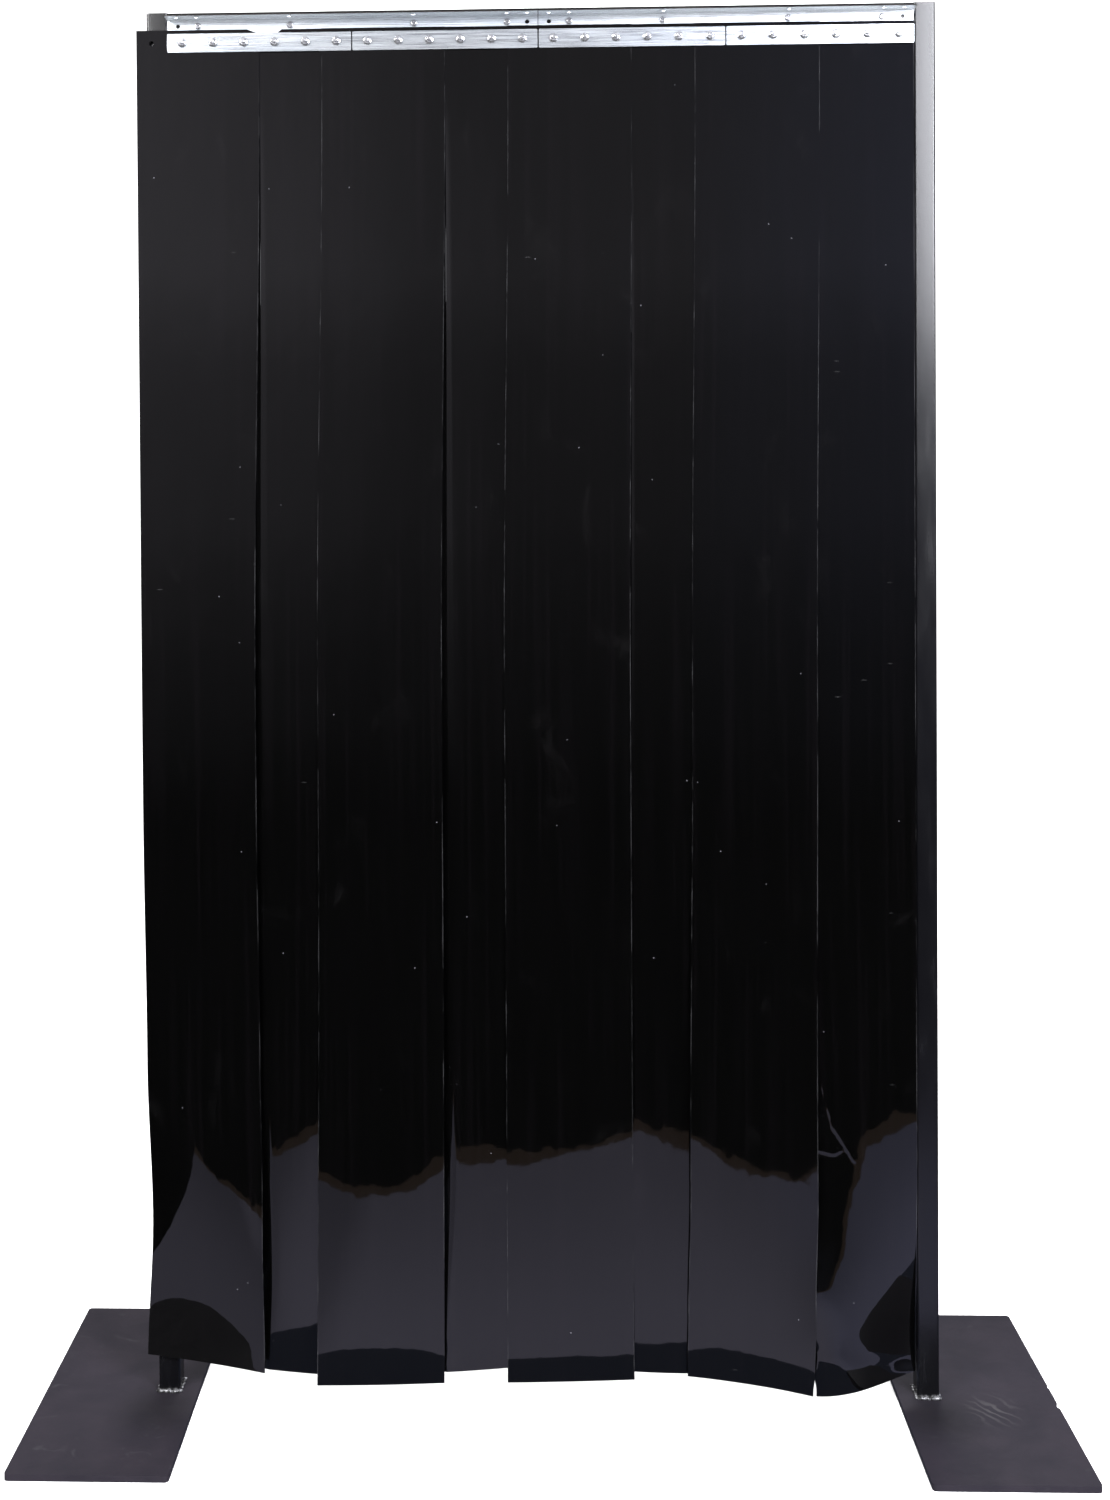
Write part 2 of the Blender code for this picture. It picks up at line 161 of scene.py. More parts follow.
def round_edges(bm, width, segments, slot=0):
    """Rounds every sharp edge; the new faces take the slot's material."""
    limit = math.radians(SHARP_DEGREES)
    sharp = [edge for edge in bm.edges if len(edge.link_faces) == 2 and edge.calc_face_angle() > limit]
    bmesh.ops.bevel(
        bm, geom=sharp, offset=width, offset_type="OFFSET", segments=segments, profile=0.5,
        affect="EDGES", clamp_overlap=True, material=slot,
    )


def softened_box(name, node, axis, corner, rounding, segments, material, thick=None, steps=6, edge_slot=0):
    """A node's box with arcs at the corners of its outline and rounded ends along an axis."""
    low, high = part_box(node)
    first, second = (i for i in range(3) if i != axis)
    size, middle = high - low, (low + high) / 2
    outline = rounded_rectangle(size[first], size[second], corner, (middle[first], middle[second]), steps)
    bm = bmesh.new()
    add_prism(bm, outline, axis, low[axis], low[axis] + thick if thick else high[axis])
    round_edges(bm, rounding, segments, edge_slot)
    return mesh_object(name, bm, material, 40.0)


def cut(obj, cutters):
    """Takes the cutters' shapes out of an object with one exact Boolean."""
    bmesh.ops.recalc_face_normals(cutters, faces=cutters.faces)
    mesh = bpy.data.meshes.new("cutters")
    cutters.to_mesh(mesh)
    cutters.free()
    tool = link(bpy.data.objects.new("cutters", mesh))
    modifier = obj.modifiers.new("cut", "BOOLEAN")
    modifier.operation = "DIFFERENCE"
    modifier.object = tool
    result = bpy.data.meshes.new_from_object(obj.evaluated_get(bpy.context.evaluated_depsgraph_get()))
    obj.modifiers.clear()
    obj.data = result
    bpy.data.objects.remove(tool, do_unlink=True)


# Finishes

class Nodes:
    """Short calls for the nodes of one tree."""

    def __init__(self, tree):
        self.tree = tree

    def put(self, node, socket, value):
        if isinstance(value, bpy.types.NodeSocket):
            self.tree.links.new(value, node.inputs[socket])
        else:
            node.inputs[socket].default_value = value

    def node(self, kind, inputs=None, **settings):
        """A new node; its inputs are given by name or place, as numbers or as sockets to link."""
        made = self.tree.nodes.new("ShaderNode" + kind)
        for key, value in settings.items():
            setattr(made, key, value)
        for socket, value in (inputs or {}).items():
            self.put(made, socket, value)
        return made

    def maths(self, operation, *values):
        return self.node("Math", dict(enumerate(values)), operation=operation).outputs[0]

    def span(self, value, low, high, to_low=0.0, to_high=1.0, easing="SMOOTHSTEP"):
        """Maps the range from low to high onto another one."""
        inputs = {"Value": value, "From Min": low, "From Max": high, "To Min": to_low, "To Max": to_high}
        return self.node("MapRange", inputs, interpolation_type=easing).outputs["Result"]

    def mix(self, factor, a, b, blend="MIX"):
        a, b = (v if isinstance(v, bpy.types.NodeSocket) else (*v, 1.0) for v in (a, b))
        return self.node("Mix", {0: factor, 6: a, 7: b}, data_type="RGBA", blend_type=blend).outputs[2]


class Finish(Nodes):
    """A material; its plain colour and roughness are for views that read no nodes."""

    def __init__(self, name, color, roughness, metallic=0.0, specular=0.5, uv_map=None):
        self.material = bpy.data.materials.new(name)
        self.material.use_nodes = True
        super().__init__(self.material.node_tree)
        self.shader = self.tree.nodes["Principled BSDF"]
        self.uv_map = uv_map
        self.look((*color, 1.0), roughness)
        self.put(self.shader, "Metallic", metallic)
        self.put(self.shader, "Specular IOR Level", specular)

    def look(self, color, roughness=None):
        self.put(self.shader, "Base Color", color)
        if roughness is not None:
            self.put(self.shader, "Roughness", roughness)

    def bump(self, height, strength, distance):
        made = self.node("Bump", {"Height": height, "Strength": strength, "Distance": distance})
        self.put(self.shader, "Normal", made.outputs["Normal"])

    def place(self, stretch=(1.0, 1.0, 1.0)):
        """The object's coordinates or the flat map's, in metres, stretched along each axis."""
        if self.uv_map:
            source = self.node("UVMap", uv_map=self.uv_map).outputs["UV"]
        else:
            source = self.node("TexCoord").outputs["Object"]
        return self.node("Mapping", {"Vector": source, "Scale": stretch}).outputs["Vector"]

    def noise(self, stretch, detail=3.0, roughness=0.55, distortion=0.0):
        inputs = {
            "Vector": self.place(stretch), "Scale": 1.0, "Detail": detail, "Roughness": roughness,
            "Distortion": distortion,
        }
        return self.node("TexNoise", inputs).outputs["Fac"]

    def scattered(self, stretch, size, rarity):
        """Rare marks, one to a cell of a pattern, in the cells whose chance is above the rarity."""
        cells = self.node("TexVoronoi", {"Vector": self.place(stretch), "Scale": 1.0}).outputs
        inside = self.maths("LESS_THAN", cells["Distance"], size)
        chance = self.node("SeparateColor", {"Color": cells["Color"]}).outputs[0]
        return self.maths("MULTIPLY", inside, self.maths("GREATER_THAN", chance, rarity))


def even(scale):
    return (scale, scale, scale)


# The pale rim painted along each strip's edges is partly rubbed wear and partly a painted highlight
RUB_AND_HIGHLIGHT_BEGINS, RUB_AND_HIGHLIGHT_FULL = 1.3 * MM, 0.5 * MM  # distances from a strip's edge


def pvc_finish():
    """Glossy extruded black PVC: draw streaks, clouds of haze, dust, short scuffs, and a pale rim along the
    edges that is partly rubbed wear and partly a painted highlight.
    """
    black, drawn, cloudy = even(0.0005), (0.0009, 0.0008, 0.0009), (0.0022, 0.0021, 0.0022)
    # The rubbed colour is the pale rim: rubbed wear together with a painted edge highlight
    speck, scuff, rubbed = (0.07, 0.07, 0.08), (0.011, 0.011, 0.0115), (0.016, 0.016, 0.017)
    f = Finish("black_pvc", black, 0.03, uv_map="flat")
    streaks = f.span(f.noise((110.0, 1.3, 1.0), 3.0, 0.6), 0.45, 0.75)
    clouds = f.span(f.noise((13.0, 8.0, 1.0), 6.0, 0.65, 0.6), 0.58, 0.85)
    color = f.mix(clouds, f.mix(streaks, black, drawn), cloudy)
    color = f.mix(f.scattered(even(55.0), 0.05, 0.93), color, speck)
    color = f.mix(f.scattered((24.0, 210.0, 1.0), 0.13, 0.992), color, scuff)
    half = STRIP_WIDTH / 2
    along_width = f.maths("FRACT", f.node("SeparateXYZ", {"Vector": f.place()}).outputs["X"])
    from_middle = f.maths("ABSOLUTE", f.maths("SUBTRACT", along_width, FLAT_START + half))
    rim = f.span(from_middle, half - RUB_AND_HIGHLIGHT_BEGINS, half - RUB_AND_HIGHLIGHT_FULL)
    wear = f.span(f.noise((3.0, 9.0, 1.0), 5.0, 0.7), 0.42, 0.66)
    smear = f.noise((60.0, 2.5, 1.0), 4.0, 0.6)
    # Pale rim mixed in near both edges: partly rubbed wear, partly a painted highlight where the edges catch
    # light
    f.look(f.mix(f.maths("MULTIPLY", rim, wear), color, rubbed), f.span(smear, 0.3, 0.8, 0.022, 0.033))
    lines, uneven = f.noise((380.0, 2.0, 1.0), 2.0), f.noise((15.0, 9.0, 1.0), 2.5)
    f.bump(f.maths("ADD", uneven, f.maths("MULTIPLY", lines, 0.006)), 1.0, 0.3 * MM)
    return f.material


def galvanised_finish(name, metallic, shade, grain):
    """Bright rolled zinc, darkened by the shade: grain drawn along the length, dull and bluish patches."""
    f = Finish(name, (0.6, 0.63, 0.66), 0.3, metallic)
    bright, dull, line = (
        [shade * v for v in color]
        for color in ((0.62, 0.65, 0.68), (0.47, 0.51, 0.56), (0.38, 0.41, 0.44))
    )
    patches, drawn = f.noise((4.0, 14.0, 14.0), 4.0, 0.6), f.noise((9.0, 900.0, 900.0))
    tone = f.mix(f.span(patches, 0.35, 0.7), bright, dull)
    f.look(f.mix(f.span(drawn, 0.3, 0.75, 0.0, grain), tone, line), f.span(drawn, 0.25, 0.8, 0.20, 0.42))
    f.bump(drawn, grain / 2, 0.05 * MM)
    return f.material


def sheared_edge_finish():
    """Bare steel, browned, where the rail's sheet was sheared."""
    f = Finish("sheared_edge", (0.01, 0.009, 0.008), 0.6, 0.0, 0.15)
    rust = f.noise((30.0, 200.0, 200.0), 4.0, 0.7)
    f.look(f.mix(f.span(rust, 0.35, 0.7), (0.004, 0.0033, 0.003), (0.014, 0.012, 0.011)))
    return f.material


def zinc_finish():
    """Plated nuts, studs and screws, brighter than the rail."""
    f = Finish("zinc_fastener", (0.74, 0.75, 0.77), 0.22, 0.9)
    mottle = f.noise(even(260.0))
    f.look(f.mix(mottle, (0.60, 0.61, 0.63), (0.34, 0.34, 0.36)), f.span(mottle, 0.3, 0.8, 0.16, 0.34))
    f.bump(mottle, 0.15, 0.1 * MM)
    return f.material


def paint_finish():
    """Satin black paint with a faint orange peel and a few rubbed patches."""
    f = Finish("black_paint", (0.002, 0.002, 0.0025), 0.25, 0.0, 0.4)
    rub = f.noise((30.0, 30.0, 5.0), 5.0, 0.65)
    color = f.mix(f.span(rub, 0.55, 0.8), (0.0010, 0.0010, 0.0015), (0.004, 0.004, 0.005))
    f.look(color, f.span(rub, 0.3, 0.8, 0.20, 0.30))
    f.bump(f.noise(even(420.0), 2.0), 0.08, 0.3 * MM)
    return f.material


BOOT_PRINT, BOOT_REACH = (0.712, -0.055), 0.085  # on the right foot plate
# Painted shade: each plate is darkened in front of its post, where the post and the curtain's ends shade it
PAINTED_SHADE_PLACES, PAINTED_SHADE_REACH = ((-0.6175, -0.07), (0.6175, -0.07)), 0.13  # in front of the posts


def foot_plate_finish():
    """Dark grey plate steel, mottled and trodden, with a boot's print, dust, and shade painted dark in front
    of the posts.
    """
    light, dark, dust = (0.0150, 0.0126, 0.0170), (0.0108, 0.0096, 0.0134), (0.024, 0.023, 0.027)
    tread, painted_shade = (0.038, 0.036, 0.039), (0.0035, 0.0035, 0.004)
    f = Finish("foot_plate_steel", (0.02, 0.02, 0.022), 0.5, 0.0, 0.07)
    place = f.place()
    mottle, grime = f.noise(even(9.0), 7.0, 0.62, 0.4), f.noise((22.0, 30.0, 30.0), 7.0, 0.7, 1.2)

    def near(x, y, reach):
        """1 at a point of a plate's top, falling to 0 where the reach ends."""
        ends = {0: place, 1: (x, y, PLATE_THICK)}
        distance = f.node("VectorMath", ends, operation="DISTANCE").outputs["Value"]
        return f.span(f.maths("ADD", distance, f.maths("MULTIPLY", mottle, 0.05)), 0.02, reach, 1.0, 0.0)

    color = f.mix(f.span(mottle, 0.3, 0.7), light, dark)
    color = f.mix(f.span(grime, 0.58, 0.72, 0.0, 0.6), color, dust)
    wave = {"Vector": place, "Scale": 26.0, "Distortion": 9.0, "Detail": 2.0, "Detail Scale": 0.9}
    ribs = f.node("TexWave", wave, wave_type="BANDS", bands_direction="DIAGONAL").outputs["Fac"]
    trodden = f.maths("MULTIPLY", f.span(ribs, 0.55, 0.95), near(*BOOT_PRINT, BOOT_REACH))
    color = f.mix(f.maths("MULTIPLY", trodden, 0.8), color, tread)
    # Painted shade, darkest in front of each post
    for x, y in PAINTED_SHADE_PLACES:
        color = f.mix(f.maths("MULTIPLY", near(x, y, PAINTED_SHADE_REACH), 0.6), color, painted_shade)
    f.look(color, f.span(grime, 0.3, 0.8, 0.45, 0.62))
    f.bump(f.maths("ADD", mottle, f.maths("MULTIPLY", grime, 0.4)), 0.12, 1.0 * MM)
    return f.material


def worn_edge_finish():
    """The rubbed arrises of the foot plates."""
    f = Finish("worn_edge", (0.3, 0.3, 0.32), 0.35, 0.8)
    wear = f.noise(even(60.0), 5.0, 0.7)
    f.look(f.mix(f.span(wear, 0.42, 0.6), (0.06, 0.06, 0.065), (0.45, 0.45, 0.47)))
    return f.material


def weld_finish():
    """Bare weld metal, bright on its ripples and burnt between them."""
    f = Finish("weld_metal", (0.3, 0.3, 0.31), 0.5, 0.8)
    ripple = f.noise(even(170.0), 4.0, 0.6)
    color = f.mix(f.span(ripple, 0.42, 0.62), (0.02, 0.02, 0.02), (0.24, 0.24, 0.25))
    f.look(color, f.span(ripple, 0.3, 0.7, 0.6, 0.35))
    f.bump(ripple, 0.5, 1.0 * MM)
    return f.material


# Frame: posts, beam, foot plates and welds

TUBE_CORNER, TUBE_END_ROUND = 4 * MM, 0.6 * MM
PLATE_CORNER, PLATE_EDGE_ROUND = 6 * MM, 0.9 * MM
PLATE_DENTS = ((-0.036, 11 * MM, 4.0 * MM), (0.018, 5 * MM, 2.0 * MM))  # y, radius and depth of each

# The beads round a post's foot, from the front one on: radius, and reach past the post's corners
FOOT_BEADS = ((5.0 * MM, 2.5 * MM), (2.2 * MM, -1.0 * MM), (3.0 * MM, 2.5 * MM), (2.2 * MM, -1.0 * MM))
BEAD_STANDOFF, BEAD_LIFT, BEAD_SWAY = 1.5 * MM, 0.6 * MM, 0.5 * MM
BEAD_STEPS, BEAD_SIDES, BEAD_TAPER_STEPS = 26, 12, 3
BEAD_END_SIZE, BEAD_LUMPS, BEAD_FLATNESS = 0.35, 0.28, 0.75

SEAM_RADIUS, SEAM_SINK, SEAM_INSET = 1.3 * MM, 0.3 * MM, 2 * MM
SEAM_STEPS, SEAM_SIDES = 20, 10


def keep(obj, slot, *nodes):
    """Hangs a piece on the frame and hides the model's nodes that it stands for; the slot is not used."""
    flatten = obj.modifiers.new("flat_faces", "WEIGHTED_NORMAL")
    flatten.keep_sharp = True
    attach(obj, "frame")
    if nodes:
        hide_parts(*nodes)


def make_tube(node, axis, material):
    """A post or the beam: square tube with rounded corners and softened ends."""
    tube = softened_box(node + "_tube", node, axis, TUBE_CORNER, TUBE_END_ROUND, 2, material)
    keep(tube, "black_paint", node)


def make_foot_plate(side_name, side, material, edge_material):
    """A plate with worn edges; the right one has dents in its outer edge."""
    node = "foot_plate_" + side_name
    plate = softened_box(
        node + "_slab", node, Z_AXIS, PLATE_CORNER, PLATE_EDGE_ROUND, 3, material, PLATE_THICK, edge_slot=1,
    )
    plate.data.materials.append(edge_material)
    if side > 0:
        low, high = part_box(node)
        dents = bmesh.new()
        for y, radius, depth in PLATE_DENTS:
            outline = circle(radius, (high.x + radius - depth, y))
            add_prism(dents, outline, Z_AXIS, low.z - MM, low.z + PLATE_THICK + MM)
        cut(plate, dents)
    keep(plate, "foot_plate", node)


def add_bead(bm, path, radius, rng):
    """A bead of weld along a path, each ripple a little fatter than the next dip."""
    up = Vector((0.0, 0.0, 1.0))
    last = len(path) - 1
    rings = []
    for i, point in enumerate(path):
        along = (path[min(i + 1, last)] - path[max(i - 1, 0)]).normalized()
        out = along.cross(up).normalized()
        from_end = min(i, last - i) / BEAD_TAPER_STEPS
        taper = min(1.0, BEAD_END_SIZE + (1 - BEAD_END_SIZE) * from_end)
        size = radius * taper * (1 + BEAD_LUMPS * (0.5 * math.sin(i * 2.1) + rng.uniform(-0.5, 0.5)))
        rings.append(oval_ring(bm, point, out * size, up * size * BEAD_FLATNESS, BEAD_SIDES))
    bridge(bm, rings, capped=True)


def make_post_weld(side_name, material):
    """Uneven beads round the foot of a post, the front one thickest."""
    low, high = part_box("post_" + side_name)
    middle = (low + high) / 2
    half = (high.x - low.x) / 2 + BEAD_STANDOFF
    corners = [
        Vector((middle.x + a * half, middle.y + b * half, low.z + BEAD_LIFT))
        for a, b in ((-1, -1), (1, -1), (1, 1), (-1, 1))
    ]
    rng = np.random.default_rng(FOOT_WELD_SEEDS[side_name])
    bm = bmesh.new()
    for index, (radius, reach) in enumerate(FOOT_BEADS):
        start, end = corners[index], corners[(index + 1) % 4]
        past = (end - start).normalized() * reach
        sideways = Vector((0, 1, 0)) if index % 2 == 0 else Vector((1, 0, 0))
        path = [
            (start - past).lerp(end + past, i / (BEAD_STEPS - 1))
            + sideways * BEAD_SWAY * math.sin(i * 0.9 + index)
            for i in range(BEAD_STEPS)
        ]
        add_bead(bm, path, radius, rng)
    keep(mesh_object(f"post_weld_{side_name}", bm, material, 60.0), "galvanised")


def make_corner_weld(side_name, side, material):
    """The thin seams where a post's inner face meets the back and the underside of the beam."""
    low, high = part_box("top_beam")
    x = side * (high.x - SEAM_SINK)
    seams = (
        (Vector((x, high.y, low.z + SEAM_INSET)), Vector((x, high.y, high.z - SEAM_INSET))),
        (Vector((x, low.y + SEAM_INSET, low.z)), Vector((x, high.y - SEAM_INSET, low.z))),
    )
    rng = np.random.default_rng(SEAM_SEEDS[side_name])
    bm = bmesh.new()
    first = Vector((1, 0, 0))
    for start, end in seams:
        second = (end - start).normalized().cross(first)
        rings = []
        for i in range(SEAM_STEPS):
            size = SEAM_RADIUS * (1 + 0.25 * math.sin(i * 2.0) + rng.uniform(-0.1, 0.1))
            point = start.lerp(end, i / (SEAM_STEPS - 1))
            rings.append(oval_ring(bm, point, first * size, second * size, SEAM_SIDES))
        bridge(bm, rings, capped=True)
    keep(mesh_object(f"corner_weld_{side_name}", bm, material, 60.0), "black_paint")


# Rail, clamp plates and fasteners

RAIL_SHELF = 30 * MM
RAIL_BEND, RAIL_INNER_BEND, RAIL_EDGE_ROUND = 3 * MM, 1 * MM, 0.3 * MM
RAIL_HOLE, RAIL_END_HOLE = 7 * MM, 17 * MM
FACE_HOLE_DROP, SHELF_HOLE_SETBACK = 12 * MM, 17 * MM
SHEARED_DEPTH = 0.35 * MM
CLAMP_CORNER, CLAMP_EDGE_ROUND, CLAMP_HOLE = 2 * MM, 0.5 * MM, 7 * MM
STUD_PAST_NUT = 3 * MM


def rail_outline(back, nose, bottom, top):
    """The angle's section in Y and Z, with an arc outside and inside the bend."""
    face_front, under = back - RAIL_SHEET, top - RAIL_SHEET
    inner_bend = arc((face_front - RAIL_INNER_BEND, under - RAIL_INNER_BEND), RAIL_INNER_BEND, 0, 1, 4)
    outer_bend = arc((back - RAIL_BEND, top - RAIL_BEND), RAIL_BEND, 1, 0, 8)
    return [(back, bottom), (face_front, bottom), *inner_bend, (nose, under), (nose, top), *outer_bend]


def screw_front(number):
    """The middle of a screw head's front."""
    low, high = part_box(f"rail_screw_{number}")
    return (low.x + high.x) / 2, low.y, (low.z + high.z) / 2


def nut_seat(number):
    """The middle of a nut's back."""
    low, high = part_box(f"clamp_nut_{number:02d}")
    return (low.x + high.x) / 2, high.y, (low.z + high.z) / 2


def make_rail(side_name, material, edge_material):
    """Angle with a row of holes in each leg; the nose of its shelf shows bare sheared steel."""
    node = "rail_" + side_name
    low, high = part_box(node)
    nose = high.y - RAIL_SHELF
    bm = bmesh.new()
    add_prism(bm, rail_outline(high.y, nose, low.z, high.z), X_AXIS, low.x, high.x)
    round_edges(bm, RAIL_EDGE_ROUND, 2)
    rail = mesh_object(node + "_angle", bm, material, 40.0)
    screws = [screw_front(number)[0] for number in SCREWS]
    places = [x for x in screws if low.x < x < high.x] + [low.x + RAIL_END_HOLE, high.x - RAIL_END_HOLE]
    holes = bmesh.new()
    for x in places:
        face_hole = circle(RAIL_HOLE / 2, (x, high.z - FACE_HOLE_DROP))
        add_prism(holes, face_hole, Y_AXIS, high.y - RAIL_SHEET - MM, high.y + MM)
        shelf_hole = circle(RAIL_HOLE / 2, (x, high.y - SHELF_HOLE_SETBACK))
        add_prism(holes, shelf_hole, Z_AXIS, high.z - RAIL_SHEET - MM, high.z + MM)
    cut(rail, holes)
    rail.data.materials.append(edge_material)
    for face in rail.data.polygons:
        if face.center.y < nose + SHEARED_DEPTH:
            face.material_index = 1
    keep(rail, "galvanised", node)


def make_clamp_plate(number, material):
    """Flat bar with softened edges and a punched hole for each stud."""
    node = f"clamp_plate_{number}"
    plate = softened_box(node + "_bar", node, Y_AXIS, CLAMP_CORNER, CLAMP_EDGE_ROUND, 3, material, steps=5)
    low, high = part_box(node)
    holes = bmesh.new()
    for nut in NUTS:
        x, _, z = nut_seat(nut)
        if low.x < x < high.x:
            add_prism(holes, circle(CLAMP_HOLE / 2, (x, z)), Y_AXIS, low.y - MM, high.y + MM)
    cut(plate, holes)
    keep(plate, "galvanised", node)


def flange_nut_mesh(material):
    """Hexagon nut with a thin flange, seat at y = 0, outer end towards -Y."""
    sides, flats, height = 72, 10 * MM, 5 * MM
    flange, rim = 7.2 * MM, 1.0 * MM
    bore, chamfer = 3.05 * MM, 0.9 * MM
    corner = flats / 2 / math.cos(math.pi / 6)
    # Radius and y of each level, from the bore round the outside and back; past the flange the flats cut in
    levels = (
        (bore, 0.0), (flange, 0.0), (flange, -rim * 0.6), (flange - 0.5 * MM, -rim), (corner, -rim * 1.7),
        (corner, -height + chamfer * 0.7), (corner - 0.45 * chamfer, -height + chamfer * 0.25),
        (corner - chamfer, -height), (bore + 0.4 * MM, -height), (bore, -height + 0.5 * MM),
    )
    bm = bmesh.new()
    rings = []
    for limit, y in levels:
        ring = []
        for angle in (FULL_TURN * i / sides for i in range(sides)):
            from_flat = (angle + math.pi / 6) % (math.pi / 3) - math.pi / 6
            radius = min(flats / 2 / math.cos(from_flat), limit) if y < -rim else limit
            ring.append(bm.verts.new((radius * math.cos(angle), y, radius * math.sin(angle))))
        rings.append(ring)
    bridge(bm, rings + rings[:1])
    return take_mesh(mesh_object("flange_nut", bm, material, 28.0))


def stud_mesh(length, material):
    """Threaded stud along Y from y = 0 towards -Y, with its thread shown over the outer half."""
    radius, depth, pitch, blunt = STUD_SIZE / 2, 0.45 * MM, 1.0 * MM, 0.06 * MM
    root, crest = radius - depth, radius - blunt
    profile = [(radius, 0.0), (radius, -length + 6.5 * pitch)]
    y = -length + 6 * pitch
    while y > -length + 0.9 * pitch:
        profile += [(root, y), (crest, y - 0.42 * pitch), (crest, y - 0.56 * pitch)]
        y -= pitch
    profile += [(root, -length + 0.3 * MM), (root - 0.4 * MM, -length)]
    bm = bmesh.new()
    add_turned(bm, profile, 32)
    return take_mesh(mesh_object("stud", bm, material, 30.0))


def screw_mesh(length, material):
    """Pan head with a cross recess; the head's top is at y = 0 and the screw runs towards +Y."""
    shank, head, height, fillet = 2.75 * MM, 5.5 * MM, 3 * MM, 2.2 * MM
    shoulder = height * 0.72
    profile = [(shank, length), (shank, height), (head, height), (head, shoulder)]
    for angle in (math.pi / 2 * step / 6 for step in range(1, 7)):
        profile.append((head - fillet + fillet * math.cos(angle), shoulder * (1 - math.sin(angle))))
    bm = bmesh.new()
    add_turned(bm, profile, 48)
    screw = mesh_object("pan_head_screw", bm, material, 30.0)
    arm, half, depth = 2.6 * MM, 0.45 * MM, 1.7 * MM
    cross = [(arm, -half), (arm, half), (half, half)]
    for _ in range(3):
        cross += [(-b, a) for a, b in cross[-3:]]
    recess = bmesh.new()
    add_prism(recess, cross, Y_AXIS, -MM, depth)
    cut(screw, recess)
    return take_mesh(screw)


def place_fastener(name, mesh, place, turn, *nodes):
    obj = link(bpy.data.objects.new(name, mesh))
    obj.matrix_world = Matrix.Translation(place) @ Matrix.Rotation(turn, 4, "Y")
    keep(obj, "zinc", *nodes)


def make_fasteners(zinc):
    """Every nut with its stud, and the rail's screws, each turned at random."""
    rng = np.random.default_rng(FASTENER_SEED)
    rail_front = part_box("rail_left")[1].y - RAIL_SHEET
    stud_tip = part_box("clamp_nut_01")[0].y - STUD_PAST_NUT
    nut, stud = flange_nut_mesh(zinc), stud_mesh(rail_front - stud_tip, zinc)
    for number in NUTS:
        x, seat, z = nut_seat(number)
        turn = rng.uniform(0, FULL_TURN)
        place_fastener(f"flange_nut_{number:02d}", nut, (x, seat, z), turn, f"clamp_nut_{number:02d}")
        place_fastener(f"stud_{number:02d}", stud, (x, rail_front, z), turn)
    low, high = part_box("rail_screw_1")
    screw = screw_mesh(high.y - low.y, zinc)
    for number in SCREWS:
        turn = rng.uniform(0, FULL_TURN / 4)
        place_fastener(f"pan_head_screw_{number}", screw, screw_front(number), turn, f"rail_screw_{number}")


# Strips: one sheet each, from its punched top edge to its hanging end

STRIP_TOP_Z = 2.230
STRIP_HOLE, STRIP_HOLE_OFFSETS = 8 * MM, (-75 * MM, -25 * MM, 25 * MM, 75 * MM)
FRONT_Y, BACK_Y = -0.0234, -0.0211  # where front and back strips are clamped
BACK_CLEARANCE = 0.5 * MM
BEND_START_Z, BEND_END_Z = 2.1925, 2.100
HANG_REACH = 0.5  # waves and curls grow to their full size this far below the bend
CURL_START_Z = 0.95
EDGE_CHAMFER = 0.2 * MM
WAVE_COUNT, WAVE_HEIGHT = 5, 0.12 * MM

# The sheet's grid of rows and columns, finer where it is kinked
HEAD_ROWS, BEND_ROWS, PLAIN_ROWS = 5, 15, 30
BEND_ROWS_END_Z = BEND_END_Z - 0.02
COLUMN_STEP, ROW_STEP, FINE_STEP = 10 * MM, 11 * MM, 3.1 * MM
CREASED_WIDTH, CREASED_TOP_Z = 0.105, 0.68
CURLED_FROM, CURLED_TO, CURLED_STEP = 30 * MM, 66 * MM, 4 * MM
RIM_COLUMNS = np.array([0.0, 1.6]) * MM / STRIP_WIDTH
LEAST_COLUMN = 0.3 * MM / STRIP_WIDTH

